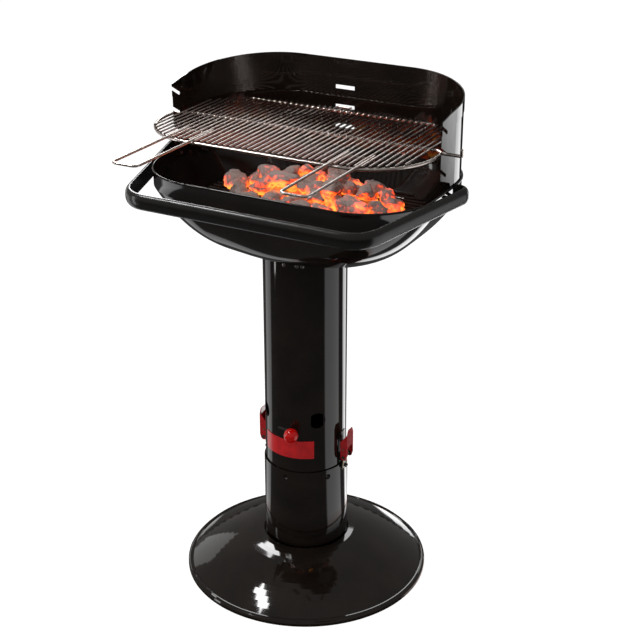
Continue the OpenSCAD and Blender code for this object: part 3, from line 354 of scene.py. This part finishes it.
@dataclass(frozen=True)
class MouldedPhenolic(Finish):
    """Phenolic resin, moulded and polished, as on ball knobs.

    The eye sees a deep glossy red with a hint of light inside it and a faint flow of the resin.
    """

    flow: str = "#9c0b0c"
    flow_share: float = 0.45
    flow_mm: float = 9.0
    inner_light: float = 0.08
    inner_depth_mm: float = 4.0
    inner_reach: Triple = (1.0, 0.2, 0.1)

    def apply(self, tree: Tree, shader: Node, place: Socket) -> None:
        """Lays on the light inside the resin and its flow."""
        feed(tree, shader, {"Subsurface Weight": self.inner_light,
                            "Subsurface Scale": self.inner_depth_mm * MM,
                            "Subsurface Radius": self.inner_reach})
        self.stain(tree, shader, clouds(tree, place, self.flow_mm, (0.0, self.flow_share)), self.flow)


@dataclass(frozen=True)
class PlatedSteel(Finish):
    """Steel with a thin metal plating: chromed wire, or zinc on wire and small parts.

    The eye sees a bright metal with slightly duller patches, and a brownish film where it has been hot.
    """

    film: str = "#8c6f66"
    film_share: float = 0.35
    patch_mm: float = 16.0
    dull_per_patch: float = 3.0
    dull_shares: Pair = (0.8, 1.4)
    grain_mm: float = 1.2
    grain_depth_mm: float = 0.015

    def apply(self, tree: Tree, shader: Node, place: Socket) -> None:
        """Lays on the metal, its film, the duller patches and a fine grain."""
        feed(tree, shader, {"Metallic": 1.0})
        self.stain(tree, shader, clouds(tree, place, self.patch_mm, (0.0, self.film_share)), self.film)
        self.drift(tree, shader, place, self.patch_mm / self.dull_per_patch, self.dull_shares)
        bump(tree, shader, clouds(tree, place, self.grain_mm, detail=2.0), self.grain_depth_mm)


@dataclass(frozen=True)
class GalvanisedSheet(Finish):
    """Hot-dip galvanised sheet.

    The eye sees dull grey zinc with crystals (spangle) about 12 mm across, each a little lighter or
    darker than the next.
    """

    dark: str = "#3b3836"
    metal: float = 0.9
    spangle_mm: float = 12.0

    def apply(self, tree: Tree, shader: Node, place: Socket) -> None:
        """Lays on the metal and its crystals."""
        feed(tree, shader, {"Metallic": self.metal})
        crystal = add_node(tree, "ShaderNodeTexVoronoi",
                           {"Vector": place, "Scale": per_metre(self.spangle_mm)})
        grey = add_node(tree, "ShaderNodeSeparateColor", {"Color": crystal.outputs["Color"]})
        self.stain(tree, shader, grey.outputs[0], self.dark)


@dataclass(frozen=True)
class ScaledSteel(Finish):
    """Bare steel that has been through many fires.

    The eye sees dull blue-black scale with rusty patches and a rough, flaking skin.
    """

    rust: str = "#5a2a17"
    rust_share: float = 0.9
    metal: float = 0.35
    patch_mm: float = 18.0
    flake_mm: float = 3.0
    flake_depth_mm: float = 0.3

    def apply(self, tree: Tree, shader: Node, place: Socket) -> None:
        """Lays on the metal, its rust and its flakes."""
        feed(tree, shader, {"Metallic": self.metal})
        rusty = clouds(tree, place, self.patch_mm, (0.0, self.rust_share), detail=6.0)
        self.stain(tree, shader, rusty, self.rust)
        bump(tree, shader, clouds(tree, place, self.flake_mm, detail=5.0), self.flake_depth_mm)


@dataclass(frozen=True)
class LiveCharcoal(Finish):
    """Lump charcoal, well alight.

    The eye sees pale grey ash on the faces that look up, black coal under it, and orange heat on the faces
    that look down into the gaps, in patches 40 mm across that 9 mm and 3.5 mm breaks make ragged. Each
    lump is a little hotter or cooler than the next.
    """

    ash: str = "#b5a29c"
    black: str = "#3a2723"
    dull_red: str = "#b81a08"
    ember: str = "#ff4810"
    flame: str = "#ff9d3a"
    heat: float = 0.66
    heat_by_side: float = -0.5
    ash_cover: float = 0.6
    ash_by_side: float = 0.45
    lump_spread: Pair = (-0.22, 0.22)
    patch_mm: float = 40.0
    patch_spread: Pair = (-0.28, 0.28)
    break_mm: float = 9.0
    break_spread: Pair = (-0.2, 0.2)
    fleck_mm: float = 3.5
    fleck_spread: Pair = (-0.3, 0.3)
    ember_heat: Pair = (0.3, 0.55)
    flame_heat: Pair = (0.6, 1.0)
    glow_heat: Pair = (0.3, 0.75)
    glow: float = 1.7
    crumb_mm: float = 2.2
    crumb_depth_mm: float = 0.9

    def apply(self, tree: Tree, shader: Node, place: Socket) -> None:
        """Lays on the ash, the heat and the crumbling skin."""
        shape = add_node(tree, "ShaderNodeNewGeometry")
        up = add_node(tree, "ShaderNodeSeparateXYZ", {0: shape.outputs["Normal"]}).outputs[2]
        own = ramp(tree, shape.outputs["Random Per Island"], (0.0, 1.0), self.lump_spread)
        patch = clouds(tree, place, self.patch_mm, self.patch_spread, detail=2.0)
        ragged = clouds(tree, place, self.break_mm, self.break_spread, detail=5.0)
        fleck = clouds(tree, place, self.fleck_mm, self.fleck_spread, detail=5.0)

        facing_heat = compute(tree, "MULTIPLY_ADD", up, self.heat_by_side, self.heat)
        hot = total(tree, facing_heat, own, patch, ragged)
        facing_ash = compute(tree, "MULTIPLY_ADD", up, self.ash_by_side, self.ash_cover)
        ashy = total(tree, facing_ash, fleck, patch)

        red = blend(tree, ramp(tree, hot, self.ember_heat), self.dull_red, self.ember)
        fire = blend(tree, ramp(tree, hot, self.flame_heat), red, self.flame)
        glow = ramp(tree, hot, self.glow_heat, (0.0, self.glow), interpolation_type="SMOOTHSTEP")
        feed(tree, shader, {"Base Color": blend(tree, ashy, self.black, self.ash),
                            "Emission Color": fire, "Emission Strength": glow})
        bump(tree, shader, clouds(tree, place, self.crumb_mm, detail=6.0), self.crumb_depth_mm)


class Slot(Enum):
    """The record's material slots, each with the finish that it gets."""

    ENAMEL = ("black_enamel", VitreousEnamel("vitreous_enamel_black", "#0e0a08", 0.06))
    FITTINGS = ("black_fittings", PowderCoat("powder_coat_black_semigloss", "#141211", 0.3))
    SATIN = ("satin_black", PowderCoat("powder_coat_black_satin", "#151413", 0.24))
    PLATE = ("red_plate", GlossPaint("stove_paint_red_plate", "#cc161b", 0.3, deep="#94101a", coat=0.25))
    LEVER = ("red_gloss", GlossPaint("stove_paint_red_gloss", "#b80f17", 0.2))
    KNOB = ("red_knob", MouldedPhenolic("phenolic_red_polished", "#c80d0b", 0.09))
    BAIL = ("bail_wire", PlatedSteel("zinc_plated_wire", "#cfc7b6", 0.22,
                                     film="#b08a4a", film_share=0.5, patch_mm=7.0))
    GRATE = ("grate_wire", PlatedSteel("chrome_plated_wire", "#d9d0ca", 0.2, film="#9c7f75"))
    FIRE_GRATE = ("fire_grate_steel", ScaledSteel("fire_scaled_steel", "#151312", 0.65, rust="#2a1710"))
    COALS = ("coals", LiveCharcoal("live_lump_charcoal", "#3a2a24", 0.9))
    DAMPER = ("damper_steel", GalvanisedSheet("galvanised_sheet", "#6c6a68", 0.45))
    FASTENERS = ("fasteners", PlatedSteel("zinc_plated_fasteners", "#8f8d8a", 0.3,
                                          film="#6b6358", film_share=0.4, patch_mm=5.0))

    @property
    def slot(self) -> str:
        """The record's name of the slot."""
        return self.value[0]

    def material(self) -> bpy.types.Material:
        """The slot's material, made the first time that it is asked for."""
        finish = self.value[1]
        return bpy.data.materials.get(finish.name) or finish.build()


@dataclass
class SubAssembly:
    """A group of pieces that are built and dressed together."""

    frame: dict[str, Any]

    def build(self) -> None:
        """Builds and dresses the group's pieces."""
        raise NotImplementedError

    def dress(self, slot: Slot, *nodes: str) -> None:
        """Gives CAD nodes the finish of a slot.

        Args:
            slot: The slot whose finish they get.
            nodes: Names of the CAD nodes.
        """
        for name in nodes:
            piece = self.frame["nodes"][name]
            piece.data.materials.clear()
            piece.data.materials.append(slot.material())
            LOG.info("%s: %s", name, slot.material().name)

    def new_piece(self, name: str, points: np.ndarray, faces: list, slot: Slot, body: str,
                  *stands_for: str) -> bpy.types.Object:
        """Makes a mesh piece that stands for CAD nodes.

        Args:
            name: The piece's name.
            points: Vertices in metres.
            faces: Vertex numbers of each face.
            slot: The slot whose finish it gets.
            body: The CAD body that it rides on.
            stands_for: The CAD nodes that it replaces.

        Returns:
            The new piece.
        """
        mesh = bpy.data.meshes.new(name)
        mesh.from_pydata([tuple(p) for p in points], [], faces)
        mesh.validate()
        mesh.shade_smooth()
        mesh.materials.append(slot.material())
        piece = put_in_scene(name, mesh)
        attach(piece, body)
        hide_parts(*stands_for)
        LOG.info("%s: %d faces", name, len(mesh.polygons))
        return piece


@dataclass
class FootAndPot(SubAssembly):
    """The pressed foot, the ash pot and what fixes them."""

    def build(self) -> None:
        """Dresses the pieces."""
        self.dress(Slot.ENAMEL, "base_foot", "ash_pot")
        self.dress(Slot.FITTINGS, "catch_left", "catch_right")
        self.dress(Slot.FASTENERS, "pot_bolt", "pot_nut", "catch_rivets")


@dataclass
class ColumnAndDamper(SubAssembly):
    """The column with its plate, and the damper inside it."""

    def build(self) -> None:
        """Dresses the pieces."""
        self.dress(Slot.ENAMEL, "column_tube")
        self.dress(Slot.PLATE, "label_plate")
        self.dress(Slot.DAMPER, "damper_ring")
        self.dress(Slot.KNOB, "damper_knob")
        self.dress(Slot.FASTENERS, "damper_stud")


@dataclass
class Latches(SubAssembly):
    """The two latches that hold the column on the pot."""

    def build(self) -> None:
        """Dresses the pieces."""
        self.dress(Slot.FITTINGS, "bracket_left", "bracket_right")
        self.dress(Slot.LEVER, "lever_left", "lever_right")
        self.dress(Slot.BAIL, "bail_left", "bail_right")
        self.dress(Slot.FASTENERS, "bracket_rivets", "pivot_pins_left", "pivot_pins_right")


@dataclass
class FireBowl(SubAssembly):
    """The rounded rectangular bowl, made finer than its solid, with its collar. All sizes are in mm."""

    width: float = 568.0
    front: float = 178.0
    back: float = 215.0
    front_corner: float = 132.0
    back_corner: float = 165.0
    height: float = 150.0
    wall_height: float = 33.3
    # Radii of the flat bottom and of its hole.
    flat: float = 92.0
    hole: float = 81.65
    sheet: float = 1.2
    roll: float = 2.4
    # How far the roll's inner end lies under the rim, as a share of the roll.
    roll_lip: float = 0.4
    # Powers of the cosine and the sine that shape the curved part, in plan and in height.
    plan_power: float = 0.75
    height_power: float = 1.95
    side_steps: int = 6
    corner_steps: int = 40
    end_steps: int = 10
    lean_steps: int = 32
    roll_steps: int = 8

    def reach(self, angle: float) -> float:
        """Distance in mm from the axis to the wall in a direction, in radians from +X."""
        across, along = abs(math.cos(angle)), abs(math.sin(angle))
        behind = math.sin(angle) > 0
        depth, corner = (self.back, self.back_corner) if behind else (self.front, self.front_corner)
        hit = min(self.width / 2 / max(across, TINY), depth / max(along, TINY))
        x, y = self.width / 2 - corner, depth - corner
        if hit * across <= x or hit * along <= y:
            return hit
        middle = across * x + along * y
        return middle + math.sqrt(middle * middle - x * x - y * y + corner ** 2)

    def directions(self) -> list[float]:
        """Directions of the swept sections in radians, close together round the corners."""
        found: list[float] = []
        ends = ((self.back, self.back_corner, 1), (self.front, self.front_corner, -1))
        for side, (depth, corner, end) in product((1, -1), ends):
            start = math.atan2(depth - corner, self.width / 2)
            stop = math.atan2(depth, self.width / 2 - corner)
            turns = [start * i / self.side_steps for i in range(self.side_steps)]
            turns += [start + (stop - start) * i / self.corner_steps for i in range(self.corner_steps)]
            turns += [stop + (math.pi / 2 - stop) * i / self.end_steps for i in range(self.end_steps + 1)]
            found += [math.atan2(end * math.sin(t), side * math.cos(t)) % math.tau for t in turns]
        return sorted({round(a, ANGLE_DIGITS) for a in found})

    def section(self, angle: float, bottom: float) -> list[tuple[float, float]]:
        """Closed section of the sheet in a direction.

        Args:
            angle: The direction in radians.
            bottom: Height of the bowl's underside.

        Returns:
            Distances from the axis and heights.
        """
        reach = self.reach(angle)
        rim = bottom + self.height
        band = rim - self.wall_height
        leans = [i * math.pi / 2 / self.lean_steps for i in range(self.lean_steps + 1)]

        def skin(lean: float, inset: float) -> tuple[float, float]:
            """One point of the curved part, inset from the outer skin."""
            out = self.flat + (reach - self.flat) * max(math.cos(lean), 0.0) ** self.plan_power
            drop = (self.height - self.wall_height) * math.sin(lean) ** self.height_power
            return out - inset * math.cos(lean), band - drop + inset * math.sin(lean)

        outside = [skin(lean, 0.0) for lean in reversed(leans)]
        inside = [skin(lean, self.sheet) for lean in leans]
        rolled = []
        for i in range(self.roll_steps + 1):
            turn = math.radians(180 * i / self.roll_steps - 90)
            out = self.roll * max(math.cos(turn), 0.0)
            rolled.append((reach + out, rim - self.roll + self.roll * math.sin(turn)))
        rolled.append((reach - self.sheet, rim - self.roll_lip * self.roll))
        return [(self.hole, bottom)] + outside + rolled + inside + [(self.hole, bottom + self.sheet)]

    def build(self) -> None:
        """Sweeps the bowl and dresses its collar and screws."""
        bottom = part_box("bowl")[0].z / MM
        angles = self.directions()
        rings = [self.section(a, bottom) for a in angles]
        count, around = len(rings[0]), len(angles)
        points = np.array([(r * math.cos(a) * MM, r * math.sin(a) * MM, z * MM)
                           for a, ring in zip(angles, rings) for r, z in ring])
        faces = [(i * count + j, ((i + 1) % around) * count + j,
                  ((i + 1) % around) * count + (j + 1) % count, i * count + (j + 1) % count)
                 for i in range(around) for j in range(count)]
        self.new_piece("fine_bowl", points, faces, Slot.ENAMEL, "stand", "bowl")
        self.dress(Slot.FITTINGS, "bowl_collar")
        self.dress(Slot.FASTENERS, "collar_screws")


@dataclass
class BumperBar(SubAssembly):
    """The black bar round the bowl and what carries it."""

    def build(self) -> None:
        """Dresses the pieces."""
        self.dress(Slot.SATIN, "handle_bar", "handle_posts")
        self.dress(Slot.FASTENERS, "handle_bolts")


@dataclass
class WindShield(SubAssembly):
    """The wrap-round shield and its screws."""

    def build(self) -> None:
        """Dresses the pieces."""
        self.dress(Slot.ENAMEL, "wind_shield")
        self.dress(Slot.FASTENERS, "shield_screws", "shield_nuts")


@dataclass
class CookingGrate(SubAssembly):
    """The chromed wire grate with its two handles."""

    def build(self) -> None:
        """Dresses the pieces."""
        self.dress(Slot.GRATE, "grate_frame", "grate_bars", "grate_mid_rod", "grate_back_rod",
                   "grate_rear_tab", "grate_handle_left", "grate_handle_right", "grate_handle_ties")


@dataclass
class CoalBed(SubAssembly):
    """Live lumps of charcoal, heaped on their grate. All sizes are in mm."""

    seed: int = 7
    # The heap: its middle, its half sizes, its height and how steeply it falls at its edge.
    centre: Pair = (-4.0, 30.0)
    half_width: float = 198.0
    half_depth: float = 122.0
    rise: float = 58.0
    edge_power: float = 2.4
    # Heights of the layers, how far a lump may lie off its layer, and tries per layer.
    layers: tuple[float, ...] = (11.0, 27.0, 41.0)
    layer_spread: float = 3.0
    tries: int = 900
    # Half a lump's usual width, and the least and the greatest share of it.
    lump: float = 24.0
    lump_shares: Pair = (0.68, 1.12)
    # A lump's top over its centre as a share of its size, and how high a lump may rise where the heap
    # is lower than that: a share of its size and a fixed height.
    top_share: float = 0.55
    lone_share: float = 0.8
    lone_rise: float = 9.0
    # How close lumps lie, as a share of their sizes, and how much a height counts as distance.
    nearness: float = 0.86
    height_weight: float = 1.3
    # A lump's broken faces: their number, depths and softness, and the limits of its outline.
    facets: int = 13
    facet_depths: Pair = (0.72, 1.05)
    facet_power: float = 9.0
    least_facing: float = 0.05
    outline: Pair = (0.5, 1.25)
    stretches: tuple[Pair, ...] = ((1.0, 1.45), (0.85, 1.05), (0.7, 0.95))
    tilt: float = 0.6
    # The rough skin: its share of the lump's size, its scale, and how its finer parts fade and shrink.
    rough_share: float = 0.16
    rough_scale: float = 2.6
    rough_fade: float = 0.9
    rough_shrink: float = 2.2
    rough_octaves: int = 4
    rough_offset: float = 50.0
    ball_detail: int = 4

    def surface(self, x: float, y: float) -> float:
        """Height in mm of the heap over its grate at a place, measured from the heap's centre."""
        away = math.hypot(x / self.half_width, y / self.half_depth)
        return self.rise * max(0.0, 1.0 - away ** self.edge_power)

    def fits(self, lump: Lump, placed: list[Lump]) -> bool:
        """Whether a lump stays under the heap's surface and clear of those that are placed."""
        x, y, z, size = lump
        if z + self.top_share * size > max(self.surface(x, y), self.lone_share * size + self.lone_rise):
            return False
        return all((x - a) ** 2 + (y - b) ** 2 + (self.height_weight * (z - c)) ** 2
                   > (self.nearness * (size + d)) ** 2 for a, b, c, d in placed)

    def places(self, dice: random.Random) -> list[Lump]:
        """Places and sizes of the lumps: layers from the grate up to the heap's surface."""
        placed: list[Lump] = []
        for level, _ in product(self.layers, range(self.tries)):
            turn, out = dice.uniform(0, math.tau), math.sqrt(dice.random())
            x = out * math.cos(turn) * (self.half_width - self.lump)
            y = out * math.sin(turn) * (self.half_depth - self.lump)
            size = self.lump * dice.uniform(*self.lump_shares)
            z = level + dice.uniform(-self.layer_spread, self.layer_spread)
            if self.fits((x, y, z, size), placed):
                placed.append((x, y, z, size))
        return placed

    def one_lump(self, ball: np.ndarray, size: float, dice: random.Random) -> np.ndarray:
        """Shape of one lump round its own centre.

        Args:
            ball: Directions of a fine ball's points.
            size: Half the lump's usual width in mm.
            dice: The seeded dice.

        Returns:
            The lump's points in mm.
        """
        normals = np.array([[dice.gauss(0, 1) for _ in range(3)] for _ in range(self.facets)])
        normals /= np.linalg.norm(normals, axis=1)[:, None]
        depth = np.array([dice.uniform(*self.facet_depths) for _ in range(self.facets)])
        facing = np.clip(ball @ normals.T, self.least_facing, None)
        powers = np.sum(np.power(facing / depth, self.facet_power), axis=1)
        soft = np.clip(np.power(powers, -1 / self.facet_power), *self.outline)
        stretch = np.array([dice.uniform(*limits) for limits in self.stretches])
        shift = Vector([dice.uniform(-self.rough_offset, self.rough_offset) for _ in range(3)])
        rough = np.array([noise.fractal(Vector(p) * self.rough_scale + shift, self.rough_fade,
                                        self.rough_shrink, self.rough_octaves) for p in ball])
        shape = ball * (soft * (1 + self.rough_share * rough))[:, None] * stretch * size
        spin = Matrix.Rotation(dice.uniform(0, math.tau), 3, "Z")
        lean = Matrix.Rotation(dice.uniform(-self.tilt, self.tilt), 3, "X")
        return shape @ np.array(spin @ lean).T

    def build(self) -> None:
        """Heaps the lumps and dresses their grate."""
        low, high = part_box("charcoal_lumps")
        base = low.z / MM
        dice = random.Random(self.seed)
        bpy.ops.mesh.primitive_ico_sphere_add(subdivisions=self.ball_detail, radius=1)
        ball_piece = bpy.context.object
        ball = np.array([v.co.normalized() for v in ball_piece.data.vertices])
        ball_faces = [tuple(p.vertices) for p in ball_piece.data.polygons]
        bpy.data.objects.remove(ball_piece)
        lumps = self.places(dice)
        points, faces = [], []
        for x, y, z, size in lumps:
            shape = self.one_lump(ball, size, dice) + np.array((x, y, z))
            shape[:, 2] = np.maximum(shape[:, 2], 0.0)
            faces += [tuple(v + len(points) * len(ball) for v in f) for f in ball_faces]
            points.append(shape + np.array((*self.centre, base)))
        cloud = np.concatenate(points) * MM
        cloud[:, 2] = np.clip(cloud[:, 2], low.z, high.z)
        self.new_piece("live_coals", cloud, faces, Slot.COALS, "fire_grate", "charcoal_lumps")
        LOG.info("%d lumps", len(lumps))
        self.dress(Slot.FIRE_GRATE, "charcoal_grate_ring", "charcoal_grate_bars")


@dataclass
class Lamp:
    """One soft box: where it stands, where it points, its size and its light, in metres and watts."""

    name: str
    at: Triple
    to: Triple
    size: Pair
    power: float

    def build(self) -> None:
        """Makes the lamp."""
        light = bpy.data.lights.new(self.name, "AREA")
        light.shape = "RECTANGLE"
        light.size, light.size_y = self.size
        light.energy = self.power
        lamp = put_in_scene(self.name, light)
        lamp.location = self.at
        lamp.rotation_euler = (Vector(self.to) - Vector(self.at)).to_track_quat("-Z", "Y").to_euler()


@dataclass
class Studio:
    """The pale floor, the soft boxes, the surroundings and the camera, in metres and degrees."""

    camera_at: Triple = (1.20334, -2.17675, 1.67187)
    camera_turn: Triple = (65.7147, 0.0, 28.2722)
    lens_mm: float = 77.952
    film_mm: float = 36.0
    lamps: tuple[Lamp, ...] = (
        Lamp("key_box", (-0.72, -0.63, 1.85), (0, 0, 0.5), (0.5, 0.2), 9),
        Lamp("left_strip", (-1.4, -0.87, 0.62), (0, 0, 0.62), (0.16, 1.2), 3),
        Lamp("left_panel", (-2.0, 0.75, 0.6), (0, 0, 0.3), (0.7, 0.8), 1.5),
        Lamp("back_left_box", (-1.0, 0.72, 1.6), (0, 0, 0.3), (0.4, 0.5), 9),
        Lamp("back_box", (-1.1, 2.1, 1.95), (0, 0, 0.9), (0.9, 0.5), 7),
    )
    floor_size: float = 24.0
    # Share of the light that the paper gives back to the object, and to the camera on top of its glow.
    paper: Triple = (0.42, 0.41, 0.4)
    seen_paper: float = 0.25
    seen_glow: float = 0.9
    # Sectors of the floor that the flags leave open to mirrors: from, to, and their light.
    open_sectors: tuple[Triple, ...] = ((-8.0, 40.0, 1.1), (63.0, 82.0, 3.0), (165.0, 192.0, 0.9))
    sector_edge_radians: float = 0.05
    # Light of the flagged floor near the object and far off, and where one becomes the other.
    flagged_light: Pair = (0.09, 0.01)
    flagged_reach: Pair = (1.4, 2.6)
    # Painted warm reflection: mirrors see the floor close round the foot glow warm, out to where it
    # becomes white, while the camera still sees it white.
    painted_warm_reflection: str = "#a8622e"
    painted_warm_reach: Pair = (0.2, 0.3)
    air: str = "#f4f1ee"
    air_light: float = 0.7
    mirrored_air_light: float = 0.28

    def camera(self) -> None:
        """Puts the camera where the photograph was taken from."""
        data = bpy.data.cameras.new("camera")
        data.lens = self.lens_mm
        data.sensor_width = self.film_mm
        camera = put_in_scene("camera", data)
        camera.location = self.camera_at
        camera.rotation_euler = tuple(math.radians(a) for a in self.camera_turn)
        bpy.context.scene.camera = camera

    def flagged(self, tree: Tree) -> Node:
        """The paper as mirrors see it: dim, and darker far off, but for the open sectors, with a painted
        warm reflection close round the foot.

        Args:
            tree: The node tree.

        Returns:
            The emission node.
        """
        place = add_node(tree, "ShaderNodeTexCoord").outputs["Object"]
        x, y = add_node(tree, "ShaderNodeSeparateXYZ", {0: place}).outputs[:2]
        away = add_node(tree, "ShaderNodeVectorMath", {0: place}, operation="LENGTH").outputs["Value"]
        turn = compute(tree, "ARCTAN2", y, x)
        lights = [ramp(tree, away, self.flagged_reach, self.flagged_light)]
        for start, stop, light in self.open_sectors:
            middle, half = math.radians((start + stop) / 2), math.radians((stop - start) / 2)
            facing = compute(tree, "COSINE", compute(tree, "SUBTRACT", turn, middle))
            edge = (math.cos(half + self.sector_edge_radians), math.cos(half - self.sector_edge_radians))
            lights.append(ramp(tree, facing, edge, (0.0, light), interpolation_type="SMOOTHSTEP"))
        # Painted warm reflection: the mirrored floor is warm near the foot and white further off.
        colour = blend(tree, ramp(tree, away, self.painted_warm_reach), self.painted_warm_reflection, WHITE)
        return add_node(tree, "ShaderNodeEmission", {"Color": colour, "Strength": total(tree, *lights)})

    def floor(self) -> None:
        """Lays the pale floor, which shows as white with the object's shadow on it."""
        half = self.floor_size / 2
        corners = [(-half, -half, 0), (half, -half, 0), (half, half, 0), (-half, half, 0)]
        mesh = bpy.data.meshes.new("studio_floor")
        mesh.from_pydata(corners, [], [(0, 1, 2, 3)])
        floor = put_in_scene("studio_floor", mesh)
        material = bpy.data.materials.new("studio_paper")
        tree = empty_tree(material)
        paper = add_node(tree, "ShaderNodeBsdfDiffuse", {"Color": (*self.paper, 1.0)})
        seen = add_node(tree, "ShaderNodeBsdfDiffuse", {"Color": (*[self.seen_paper] * 3, 1.0)})
        glow = add_node(tree, "ShaderNodeEmission", {"Color": linear(WHITE), "Strength": self.seen_glow})
        both = add_node(tree, "ShaderNodeAddShader", {0: seen.outputs[0], 1: glow.outputs[0]})
        surface = by_ray(tree, both, self.flagged(tree), paper)
        add_node(tree, "ShaderNodeOutputMaterial", {"Surface": surface})
        mesh.materials.append(material)

    def surroundings(self) -> None:
        """White for the camera, and a dim room round the object for its reflections and fill light."""
        world = bpy.data.worlds.new("studio")
        bpy.context.scene.world = world
        tree = empty_tree(world)
        air = add_node(tree, "ShaderNodeBackground",
                       {"Color": linear(self.air), "Strength": self.air_light})
        mirrored = add_node(tree, "ShaderNodeBackground",
                            {"Color": linear(self.air), "Strength": self.mirrored_air_light})
        seen = add_node(tree, "ShaderNodeBackground", {"Color": linear(WHITE), "Strength": 1.0})
        add_node(tree, "ShaderNodeOutputWorld", {"Surface": by_ray(tree, seen, mirrored, air)})

    def build(self) -> None:
        """Sets up the whole studio."""
        self.camera()
        self.floor()
        self.surroundings()
        for lamp in self.lamps:
            lamp.build()
        bpy.context.scene.view_settings.view_transform = "Standard"
        LOG.info("studio: %d lamps", len(self.lamps))


def main() -> None:
    """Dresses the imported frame."""
    logging.basicConfig(level=logging.INFO, format="%(name)s %(message)s")
    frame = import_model()
    bpy.context.view_layer.update()
    Studio().build()
    parts: tuple[type[SubAssembly], ...] = (
        FootAndPot, ColumnAndDamper, Latches, FireBowl, BumperBar, WindShield, CookingGrate, CoalBed)
    for part in parts:
        part(frame).build()
        LOG.info("%s done", part.__name__)
    bpy.context.view_layer.update()


if __name__ == "__main__":
    main()
